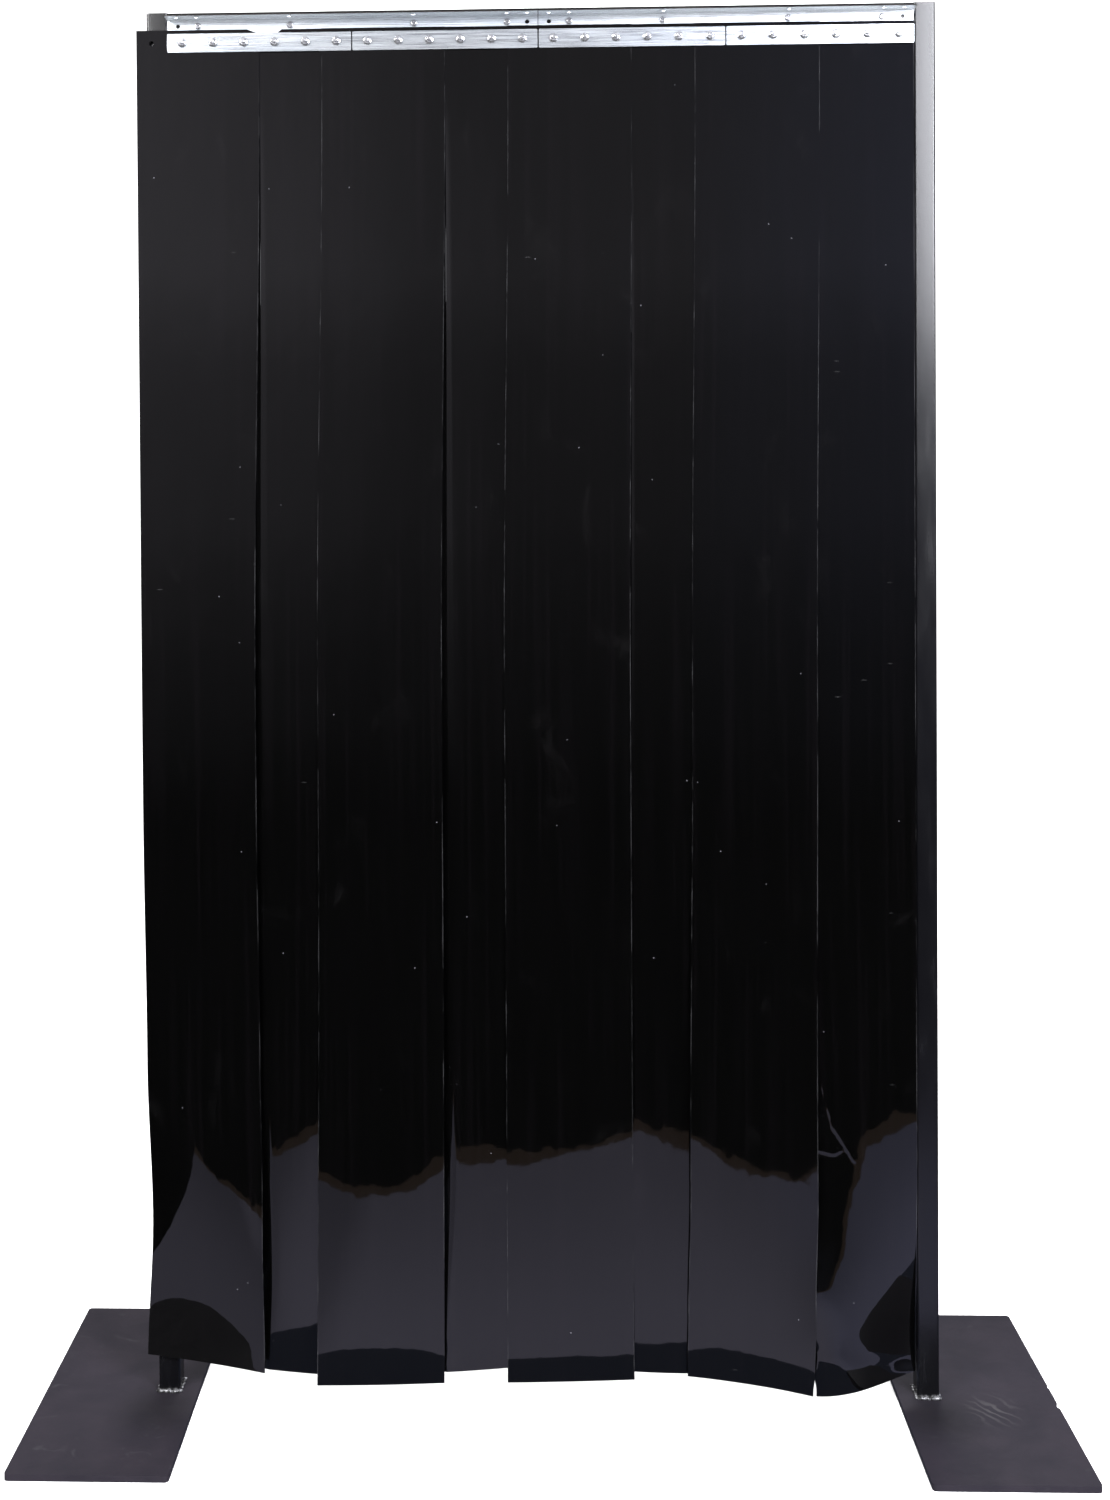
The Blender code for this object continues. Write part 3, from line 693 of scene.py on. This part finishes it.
# How far each strip leans forward, in degrees, by height in metres: at three or more places, evenly spread
# from its left edge to its right
LEANS = (
    (
        (0.92, (0, 0, 0)), (0.55, (0, 3.8, 1)), (0.38, (0, 2, 4.5)), (0.28, (0, -0.5, 5)),
        (0.16, (-1, -3.8, 4)), (0.11, (0, -2.5, 5)), (0.065, (0, 3.5, 10)),
    ),
    (
        (0.75, (0, 0, 0)), (0.38, (2.4, 1, -1)), (0.16, (2, 1.5, 0.5)), (0.10, (3.2, 3.2, 3)),
        (0.05, (4, 4, 4)),
    ),
    (
        (0.75, (0, 0, 0)), (0.38, (2.6, 3.2, 2.1)), (0.13, (4.2, 3.5, 4)), (0.10, (5.1, 4, 5.4)),
        (0.05, (6, 5, 6)),
    ),
    (
        (0.75, (0, 0, 0)), (0.38, (1.6, 1.8, 1.5)), (0.13, (4, 4.5, 4)), (0.10, (5.5, 5.5, 5.5)),
        (0.06, (10, 10, 9.5)),
    ),
    (
        (0.75, (0, 0, 0)), (0.38, (2, 1.5, 0.6)), (0.13, (4.3, 4.3, 4)), (0.10, (5.3, 5.5, 5.4)),
        (0.05, (6.5, 6.5, 6.5)),
    ),
    (
        (0.95, (0, 0, 0)), (0.70, (-0.8, -1, -1.3)), (0.48, (0, 0, 0)), (0.38, (-1.4, 1.7, 0.8)),
        (0.16, (2, 2.5, 2.2)), (0.10, (5.2, 4.6, 4.6)), (0.05, (5.5, 5.5, 5.5)),
    ),
    (
        (0.95, (0, 0, 0)), (0.70, (1.1, 0.8, 1.3)), (0.50, (0.6, 0.9, 1.2)), (0.38, (0.3, 2.2, 1.9)),
        (0.30, (1, 2.4, 4.2)), (0.20, (2, 2.7, 7.2)), (0.14, (3, 3, 8.6)), (0.10, (4.8, 4.5, 6.3)),
        (0.05, (6, 5.5, 5.5)),
    ),
    (
        (0.95, (0, 0, 0, 0, 0)), (0.72, (-1.6, -0.6, 0, 0.2, 0)), (0.50, (0, 0, 0, 0, 0)),
        (0.44, (1.2, 0.9, 0.6, 0.3, 0)), (0.36, (4.2, 3.7, 2.5, 0.6, -2)),
        (0.30, (7.2, 5.8, 3.5, 0.2, -4)), (0.25, (9.2, 7.4, 4.3, 0, -5.5)),
        (0.20, (10.5, 7.5, 3.5, -2, -5)), (0.18, (5, 6.3, 2.5, -2.5, -4)),
        (0.155, (-2, 4.2, 1.5, -3, -4)), (0.13, (-1, 4.8, 1.5, -3, -3)),
        (0.108, (1.5, 7.5, 4.5, -1, -1)), (0.094, (9.5, 9, 8.5, 3, 0)),
        (0.082, (11, 6.5, 12, 9, 4)), (0.070, (8, 5, 9, 14.5, 9)),
        (0.057, (5, 5, 5, 14, 17)), (0.045, (5, 5, 5, 9, 12)),
    ),
)

# Heights of each strip's lower corners, left and right, in millimetres
BOTTOMS = ((73, 65), (66, 38), (42, 46), (58, 73), (48, 50), (57, 55), (56, 39), (31, 50))

# The top edges that aren't cut square: share of the width, height above the usual top in millimetres
TOP_CUTS = {
    0: ((0.0, 0.0), (0.90, 0.0), (1.0, -7.0)),
    1: ((0.0, -8.0), (0.38, -8.0), (0.43, 0.0), (1.0, 0.0)),
}

# How far the left and the right edge hang off plumb, in millimetres to the right, by height in metres
DRIFTS = (
    (
        (2.19, (0, 0)), (1.15, (-1, -15)), (0.95, (-1, -15)), (0.55, (2, -12)), (0.30, (9, -8)),
        (0.05, (-2, -3)),
    ),
    ((2.19, (0, 0)), (1.15, (-4, -5)), (0.05, (-6, -8))),
    ((2.19, (0, 0)), (1.15, (-15, -12)), (0.05, (-20, -14))),
    ((2.19, (0, 0)), (1.15, (-5, -6)), (0.05, (-7, -5))),
    ((2.19, (0, 0)), (1.15, (-12, -7)), (0.05, (-13, -8))),
    ((2.19, (0, 0)), (1.15, (-4, -4)), (0.05, (-6, -5))),
    (
        (2.19, (0, 0)), (1.15, (-9, -7)), (0.35, (-16, -11)), (0.15, (-21, -18)), (0.075, (-23, -22)),
        (0.04, (-24, -26)),
    ),
    ((2.19, (0, 0)), (0.95, (0, 0)), (0.30, (14, 0)), (0.12, (22, 0)), (0.07, (27, 0)), (0.04, (31, -1))),
)

# Back strips whose hidden left edge curls away from the camera: where the curl begins, in millimetres from
# the left edge, by height in metres; then how steep it gets, and over how far
CURLED_EDGES = {
    1: ((2.19, 42), (2.05, 55), (1.30, 57), (0.55, 60), (0.22, 68), (0.05, 58)),
    3: ((2.19, 42), (2.05, 57), (1.30, 62), (0.42, 64), (0.05, 51)),
    5: ((2.19, 40), (2.00, 54), (1.30, 54), (0.70, 48), (0.05, 40)),
}
CURL_SLOPE, CURL_REACH = 0.62, 14 * MM

# They turn back a little too: slope, reach from the left edge, and where it begins and ends on the way down
TURN_SLOPE, TURN_REACH = 0.014, 150 * MM
TURN_BEGINS, TURN_LOW_Z, TURN_FADE = 0.25, 0.55, 0.4

# Kinks in the last strip: points in millimetres from its left edge and from the floor, and heights
CREASES = (
    (((-6, 655), (14, 585), (38, 525), (56, 452), (70, 432), (92, 395)), 0.6),
    (((2, 400), (14, 417), (56, 408), (72, 417)), 0.45),
    (((8, 290), (30, 225)), 0.4),
)
CREASE_WIDTH = 2.3 * MM


def smooth_table(rows, z):
    """Value of a table of (height, value), given from the top down, eased between its rows."""
    heights, values = (np.array(column[::-1], float) for column in zip(*rows))
    share = np.interp(z, heights, np.arange(len(heights), dtype=float))
    base = np.clip(np.floor(share).astype(int), 0, len(heights) - 2)
    part = share - base
    part = part * part * (3 - 2 * part)
    return values[base] * (1 - part) + values[base + 1] * part


def lean_depth(index, u, z):
    """How far forward a strip stands: its lean added up from where it starts to curl."""
    heights, leans = (np.array(column[::-1], float) for column in zip(*LEANS[index]))
    steps = np.linspace(0.0, heights[-1], 400)
    depths = []
    for lean in leans.T:
        slope = np.tan(np.interp(steps, heights, np.radians(lean)))
        fallen = np.concatenate(([0.0], np.cumsum((slope[1:] + slope[:-1]) / 2 * np.diff(steps))))
        depths.append(fallen[-1] - np.interp(z, steps, fallen))
    # The one smooth curve across the strip that passes through every depth
    places = np.linspace(0.0, 1.0, len(depths))
    total = 0.0
    for i, depth in enumerate(depths):
        weight = 1.0
        for other in np.delete(places, i):
            weight = weight * (u - other) / (places[i] - other)
        total = total + depth * weight
    return total


def crease_height(x, z):
    """Height of the kinks' ridges at points measured from the strip's left edge and from the floor."""
    total = np.zeros_like(x)
    for points, height in CREASES:
        near = np.full_like(x, 1.0)
        along = np.zeros_like(x)
        count = len(points) - 1
        for i in range(count):
            ax, az, bx, bz = (v * MM for v in (*points[i], *points[i + 1]))
            run, rise = bx - ax, bz - az
            t = np.clip(((x - ax) * run + (z - az) * rise) / (run ** 2 + rise ** 2), 0, 1)
            distance = np.hypot(x - ax - t * run, z - az - t * rise)
            along = np.where(distance < near, (i + t) / count, along)
            near = np.minimum(near, distance)
        fade = np.sin(np.clip(along * 0.9 + 0.1, 0, 1) * math.pi) ** 0.5
        total += height * MM * fade * np.exp(-(near / CREASE_WIDTH) ** 2)
    return total


def wave_height(index, u, z):
    """Small waves, a few to a strip and different on each."""
    rng = np.random.default_rng(WAVE_SEED + index)
    total = 0.0
    for _ in range(WAVE_COUNT):
        phase_x, phase_z = rng.uniform(0, FULL_TURN, 2)
        per_width, length = rng.uniform(0.3, 1.3), rng.uniform(0.9, 2.2)
        total = total + np.sin(FULL_TURN * per_width * u + phase_x) * np.sin(FULL_TURN * z / length + phase_z)
    return WAVE_HEIGHT * total


def hanging_share(z):
    """0 at the bending line, 1 where all that hangs free has its full size."""
    return np.clip((BEND_START_Z - z) / HANG_REACH, 0, 1)


def edge_depth(index, u, z):
    """How far a back strip's hidden edge curls and turns back."""
    inwards = u * STRIP_WIDTH
    hidden = smooth_table(CURLED_EDGES[index], z) * MM - inwards
    begun = np.clip(hidden / CURL_REACH, 0, 1)
    curl = CURL_SLOPE * (np.maximum(hidden - CURL_REACH, 0) + CURL_REACH * begun * begun / 2)
    turned = np.clip((BEND_START_Z - z) / TURN_BEGINS, 0, 1) * np.clip((z - TURN_LOW_Z) / TURN_FADE, 0, 1)
    return curl * hanging_share(z) + TURN_SLOPE * np.maximum(TURN_REACH - inwards, 0) * turned


def strip_height(index, u, down):
    """World heights for the heights of an uncut strip: drawn in to where its two ends are cut."""
    left_z, right_z = (v * MM for v in BOTTOMS[index])
    bottom = left_z + (right_z - left_z) * u
    share = np.clip((CURL_START_Z - down) / CURL_START_Z, 0, 1)
    z = np.where(down < CURL_START_Z, CURL_START_Z + (bottom - CURL_START_Z) * share, down)
    if index in TOP_CUTS:
        shares, rises = zip(*TOP_CUTS[index])
        head = np.clip((down - BEND_START_Z) / (STRIP_TOP_Z - BEND_START_Z), 0, 1)
        z = z + np.interp(u, shares, rises) * MM * head
    return z


def strip_surface(index, u, down):
    """Middle surface of a strip: world points for shares across and heights of an uncut strip."""
    z = strip_height(index, u, down)
    low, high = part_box(f"strip_head_{index + 1}")
    heights, drifts = zip(*DRIFTS[index])
    left_drift, right_drift = (smooth_table(list(zip(heights, edge)), z) * MM for edge in zip(*drifts))
    x = low.x + (high.x - low.x) * u + left_drift * (1 - u) + right_drift * u
    y = FRONT_Y if index % 2 == 0 else BACK_Y + BACK_CLEARANCE * hanging_share(z)
    y = y - lean_depth(index, u, z) - wave_height(index, u, z) * hanging_share(z)
    if index in CURLED_EDGES:
        y = y + edge_depth(index, u, z)
    if index == STRIP_COUNT - 1:
        y = y - crease_height(u * STRIP_WIDTH, z)
    return np.stack((x, y, z), axis=-1)


def strip_frame(index, u, down):
    """The middle surface, and at each point the ways out over the right edge and forward."""
    tiny = 0.5 * MM
    right = strip_surface(index, u + tiny, down) - strip_surface(index, u - tiny, down)
    lower = strip_surface(index, u, down - tiny) - strip_surface(index, u, down + tiny)
    ways = (way / np.linalg.norm(way, axis=-1, keepdims=True) for way in (right, np.cross(lower, right)))
    return strip_surface(index, u, down), *ways


def strip_rows(index):
    """Heights of the rows on an uncut strip, from the top down."""
    head = np.linspace(STRIP_TOP_Z, BEND_START_Z, HEAD_ROWS)
    bend = np.linspace(BEND_START_Z, BEND_ROWS_END_Z, BEND_ROWS)[1:]
    plain = np.linspace(BEND_ROWS_END_Z, CURL_START_Z, PLAIN_ROWS)[1:]
    if index == STRIP_COUNT - 1:
        fine = np.linspace(CREASED_TOP_Z, 0.0, round(CREASED_TOP_Z / FINE_STEP))
        curl = np.concatenate((np.arange(CURL_START_Z - ROW_STEP, CREASED_TOP_Z, -ROW_STEP), fine))
    else:
        curl = np.linspace(CURL_START_Z, 0.0, round(CURL_START_Z / ROW_STEP) + 1)[1:]
    return np.concatenate((head, bend, plain, curl))


def strip_columns(index):
    """Shares of the width, close together at the rims so that their shading stays narrow."""
    steps = [np.arange(0, STRIP_WIDTH, COLUMN_STEP)[1:] / STRIP_WIDTH, RIM_COLUMNS, 1 - RIM_COLUMNS]
    if index == STRIP_COUNT - 1:
        steps.append(np.arange(RIM_COLUMNS[-1] * STRIP_WIDTH, CREASED_WIDTH, FINE_STEP) / STRIP_WIDTH)
    if index in CURLED_EDGES:
        steps.append(np.arange(CURLED_FROM, CURLED_TO, CURLED_STEP) / STRIP_WIDTH)
    if index in TOP_CUTS:
        steps.append(np.array([share for share, _ in TOP_CUTS[index]]))
    shares = np.unique(np.concatenate(steps))
    shares = shares[np.concatenate(([True], np.diff(shares) > LEAST_COLUMN))]
    shares[-1] = 1.0
    return shares


def strip_mesh(bm, index):
    """A closed sheet with its flat map: two faces, and square-cut edges with a narrow chamfer."""
    flat = bm.loops.layers.uv.new("flat")
    columns = strip_columns(index)
    middle, out, normal = strip_frame(index, *np.meshgrid(columns, strip_rows(index)))
    half, last = STRIP_THICK / 2, len(columns) - 1
    # Once round the sheet: the column, and how far out over its edge and forward of its middle
    rim = (half - EDGE_CHAMFER, 0.0, EDGE_CHAMFER - half)
    section = [(column, 0.0, half) for column in range(last + 1)]
    section += [(last, EDGE_CHAMFER, forward) for forward in rim]
    section += [(column, 0.0, -half) for column in range(last, -1, -1)]
    section += [(0, -EDGE_CHAMFER, forward) for forward in reversed(rim)]
    count = len(section)
    rings = []
    for points, outs, normals in zip(middle, out, normal):
        ring = []
        for column, outward, forward in section:
            corner = bm.verts.new(points[column] + outs[column] * outward + normals[column] * forward)
            flat_x = index + FLAT_START + columns[column] * STRIP_WIDTH + outward
            ring.append((corner, (flat_x, -points[column][2])))
        rings.append(ring)

    def add_face(corners):
        face = bm.faces.new([corner for corner, _ in corners])
        for loop, (_, place) in zip(face.loops, corners):
            loop[flat].uv = place

    for ring, following in zip(rings, rings[1:]):
        for i in range(count):
            j = (i + 1) % count
            add_face((ring[i], ring[j], following[j], following[i]))
    # The cut ends: faces from side to side, and one on each rim
    rim_corners = len(rim) + 2
    back_last = last + len(rim) + 1
    for ring in (rings[0], rings[-1]):
        for column in range(last):
            back = back_last + last - column
            add_face((ring[column], ring[column + 1], ring[back - 1], ring[back]))
        for first in (last, back_last + last):
            add_face([ring[(first + k) % count] for k in range(rim_corners)])


def make_strip(index, material):
    """A strip with its holes, cut where its studs pass."""
    bm = bmesh.new()
    strip_mesh(bm, index)
    strip = mesh_object(f"pvc_strip_{index + 1}", bm, material, 35.0)
    low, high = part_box(f"strip_head_{index + 1}")
    centre = (low.x + high.x) / 2
    _, _, stud_z = nut_seat(1)
    holes = bmesh.new()
    for offset in STRIP_HOLE_OFFSETS:
        outline = circle(STRIP_HOLE / 2, (centre + offset, stud_z))
        add_prism(holes, outline, Y_AXIS, low.y - 2 * MM, high.y + 2 * MM)
    cut(strip, holes)
    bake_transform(strip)
    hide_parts(f"strip_head_{index + 1}", f"hanging_strip_{index + 1}")


# Studio: a white sweep, the darker room and floor that gloss sees, three soft boxes and the camera

# How bright the room is to gloss, by degrees above the horizon
SKY_GLOSS = (
    (-90, 0.0), (-12, 0.0), (-10.4, 0.015), (-8.8, 0.043), (-7.1, 0.06), (-5.5, 0.09), (-3.8, 0.125),
    (-2.1, 0.18), (1.3, 0.22), (3.0, 0.25), (4.6, 0.34), (6.3, 0.44), (10, 0.44), (90, 0.44),
)
SKY_TINT, SKY_RIGHT_TINT = (1.0, 0.96, 1.08), (0.92, 1.0, 1.25)
SKY_STRENGTH, SKY_LEFT_GAIN, SKY_RIGHT_GAIN = 0.58, 1.0, 0.3
SKY_DIFFUSE = 2.0

FLOOR_WHITE, FLOOR_HALF, FLOOR_DROP = 0.92, 40, 0.5 * MM
CARD_LIFT, CARD_REACH, CARD_POINTS = 1 * MM, 1.05, 141
SHADOW_DEPTHS = ((0.0, 0.33), (0.54, 0.33), (0.60, 0.25), (2.0, 0.25))  # by distance from the middle
PAPER_DEPTH, PAPER_RAGGED = 1.15, 10 * MM
BOARD_WIDTH, BOARD_LEAST, BOARD_RAGGED = 0.055, 8 * MM, 26 * MM
RAGGED_LENGTHS = (1.1, 0.47, 0.21, 0.09, 0.045)
SHADOW_GLOW, BOARD_GLOW = (0.11, 0.125, 0.195), (0.21, 0.145, 0.11)
PAPER_GLOW, PAPER_RIGHT_GLOW = (0.68, 0.65, 0.86), (0.66, 0.66, 0.98)

# Soft boxes: name, place, what they point at, width, height, power, colour
SOFT_BOXES = (
    ("soft_box_left", (-2.45, -2.85, 3.5), (-0.4, 0, 2.0), 1.5, 1.3, 300, (1, 1, 1)),
    ("soft_box_right", (2.10, -2.85, 2.9), (0.5, 0, 2.0), 1.55, 1.8, 400, (0.93, 0.94, 1.0)),
    ("soft_box_back", (0.5, 3.2, 3.6), (0, 0, 1.4), 2.2, 1.4, 120, (1, 1, 1)),
)


def make_world():
    """White to the camera and for soft light; gloss sees a room that is dark low down."""
    world = bpy.data.worlds.new("studio")
    bpy.context.scene.world = world
    world.use_nodes = True
    world.node_tree.nodes.clear()
    n = Nodes(world.node_tree)
    sight = n.node("SeparateXYZ", {"Vector": n.node("TexCoord").outputs["Generated"]}).outputs

    def sideways(start, end, gain=1.0):
        return n.span(sight["X"], start, end, 0.0, gain, "LINEAR")

    ramp = n.node("ValToRGB", {"Fac": n.span(sight["Z"], -1.0, 1.0, easing="LINEAR")})
    (_, lowest), *between, (_, highest) = SKY_GLOSS
    stops = ramp.color_ramp.elements
    stops[0].color, stops[1].color = (*even(lowest), 1), (*even(highest), 1)
    for angle, value in between:
        stop = stops.new((math.sin(math.radians(angle)) + 1) / 2)
        stop.color = (*(value * tint for tint in SKY_TINT), 1)
    color = n.mix(sideways(0.05, 0.2), ramp.outputs["Color"], SKY_RIGHT_TINT, "MULTIPLY")
    gains = n.maths("ADD", sideways(-0.04, -0.26, SKY_LEFT_GAIN), sideways(0.08, 0.24, SKY_RIGHT_GAIN))
    room = n.node("Background", {"Color": color, "Strength": n.maths("ADD", gains, SKY_STRENGTH)})
    white = n.node("Background", {"Color": (*even(1), 1), "Strength": SKY_DIFFUSE})
    glossy = n.node("LightPath").outputs["Is Glossy Ray"]
    seen = n.node("MixShader", {0: glossy, 1: white.outputs[0], 2: room.outputs[0]})
    n.node("OutputWorld", {"Surface": seen.outputs[0]})


def stage_mesh(name, points, faces, material):
    mesh = bpy.data.meshes.new(name)
    mesh.from_pydata(points, [], faces)
    mesh.materials.append(material)
    obj = link(bpy.data.objects.new(name, mesh))
    return obj


def glow(name, color):
    """A material that only shines, evenly."""
    material = bpy.data.materials.new(name)
    material.use_nodes = True
    material.node_tree.nodes.clear()
    n = Nodes(material.node_tree)
    n.node("OutputMaterial", {"Surface": n.node("Emission", {"Color": (*color, 1)}).outputs[0]})
    return material


def paper_glow(name):
    """The paper that gloss sees: dimmer far from the curtain and at both ends, bluer at the right."""
    f = Finish(name, even(0.0), 1.0, 0.0, 0.0)
    x, y, _ = f.node("SeparateXYZ", {"Vector": f.place()}).outputs
    strength = f.span(f.maths("ABSOLUTE", y), 0.2, 1.2, 1.2, 0.76)
    for edge, inner, gain in ((-0.50, -0.35, 0.68), (0.72, 0.60, 0.84)):
        strength = f.maths("MULTIPLY", strength, f.span(x, edge, inner, gain, 1.0))
    f.put(f.shader, "Emission Color", f.mix(f.span(x, 0.35, 0.7), PAPER_GLOW, PAPER_RIGHT_GLOW))
    f.put(f.shader, "Emission Strength", strength)
    return f.material


def make_floor():
    """A white floor, and over it what gloss sees instead: shadow, paper and a strip of board."""
    floor_finish = Finish("studio_floor", even(FLOOR_WHITE), 0.9, 0.0, 0.0)
    corners = [(a * FLOOR_HALF, b * FLOOR_HALF, -FLOOR_DROP) for a, b in ((-1, -1), (1, -1), (1, 1), (-1, 1))]
    floor = stage_mesh("studio_floor", corners, [(0, 1, 2, 3)], floor_finish.material)
    floor.visible_glossy = False
    along = np.linspace(-CARD_REACH, CARD_REACH, CARD_POINTS)
    rng = np.random.default_rng(FLOOR_SEED)

    def ragged(depth, size):
        """A line across the floor at a depth, wandering by about the size."""
        total = np.zeros_like(along)
        for length in RAGGED_LENGTHS:
            phase = rng.uniform(0, FULL_TURN)
            total += length ** 0.6 * np.sin(FULL_TURN * along / length + phase)
        return depth + size * total

    foot = np.zeros_like(along)
    shadow = np.interp(np.abs(along), *zip(*SHADOW_DEPTHS))
    paper = ragged(PAPER_DEPTH, PAPER_RAGGED)
    board = paper + np.maximum(ragged(BOARD_WIDTH, BOARD_RAGGED), BOARD_LEAST)
    zones = (
        ("shadow", foot, shadow, glow("floor_gloss_shadow", SHADOW_GLOW)),
        ("paper", shadow, paper, paper_glow("floor_gloss_paper")),
        ("board", paper, board, glow("floor_gloss_board", BOARD_GLOW)),
    )
    faces = [(i, i + 1, CARD_POINTS + i + 1, CARD_POINTS + i) for i in range(CARD_POINTS - 1)]
    for label, near, far, finish in zones:
        for side_name, side in (("front", -1), ("back", 1)):
            points = [(x, side * y, CARD_LIFT) for line in (near, far) for x, y in zip(along, line)]
            card = stage_mesh(f"floor_gloss_{label}_{side_name}", points, faces, finish)
            card.visible_camera = card.visible_diffuse = card.visible_shadow = False
            card.visible_transmission = card.visible_volume_scatter = False


def make_soft_box(name, place, target, width, height, power, color):
    data = bpy.data.lights.new(name, "AREA")
    data.shape, data.size, data.size_y, data.energy, data.color = "RECTANGLE", width, height, power, color
    obj = link(bpy.data.objects.new(name, data))
    obj.location = place
    aim = Vector(target) - Vector(place)
    obj.rotation_euler = aim.to_track_quat("-Z", "Y").to_euler()
    obj.visible_camera = False


def make_camera():
    data = bpy.data.cameras.new("camera")
    data.sensor_fit, data.sensor_height, data.sensor_width = "VERTICAL", SENSOR, SENSOR
    data.lens = FOCAL_PIXELS / PHOTO_HEIGHT * SENSOR
    data.shift_x = (PHOTO_WIDTH / 2 - CENTRE_PIXEL[0]) / PHOTO_HEIGHT
    data.shift_y = -(PHOTO_HEIGHT / 2 - CENTRE_PIXEL[1]) / PHOTO_HEIGHT
    data.clip_start, data.clip_end = CLIP_NEAR, CLIP_FAR
    camera = link(bpy.data.objects.new("camera", data))
    turn = Matrix.Rotation(CAMERA_YAW, 4, "Z") @ Matrix.Rotation(math.pi / 2 - CAMERA_PITCH, 4, "X")
    camera.matrix_world = Matrix.Translation(CAMERA_PLACE) @ turn @ Matrix.Rotation(CAMERA_ROLL, 4, "Z")
    bpy.context.scene.camera = camera


def build_object():
    paint, plate, worn_edge = paint_finish(), foot_plate_finish(), worn_edge_finish()
    rail_zinc = galvanised_finish("galvanised_rail", 0.7, 1.0, 0.5)
    bar_zinc = galvanised_finish("galvanised_bar", 0.93, 0.64, 0.22)
    sheared_edge, zinc, weld, pvc = sheared_edge_finish(), zinc_finish(), weld_finish(), pvc_finish()
    for side_name, side in SIDES:
        make_tube("post_" + side_name, Z_AXIS, paint)
        make_foot_plate(side_name, side, plate, worn_edge)
        make_post_weld(side_name, weld)
        make_corner_weld(side_name, side, paint)
        make_rail(side_name, rail_zinc, sheared_edge)
    make_tube("top_beam", X_AXIS, paint)
    for number in CLAMP_PLATES:
        make_clamp_plate(number, bar_zinc)
    make_fasteners(zinc)
    for index in range(STRIP_COUNT):
        make_strip(index, pvc)


def build_studio():
    bpy.context.scene.view_settings.view_transform = "Standard"
    make_world()
    make_floor()
    for soft_box in SOFT_BOXES:
        make_soft_box(*soft_box)
    make_camera()


build_object()
build_studio()
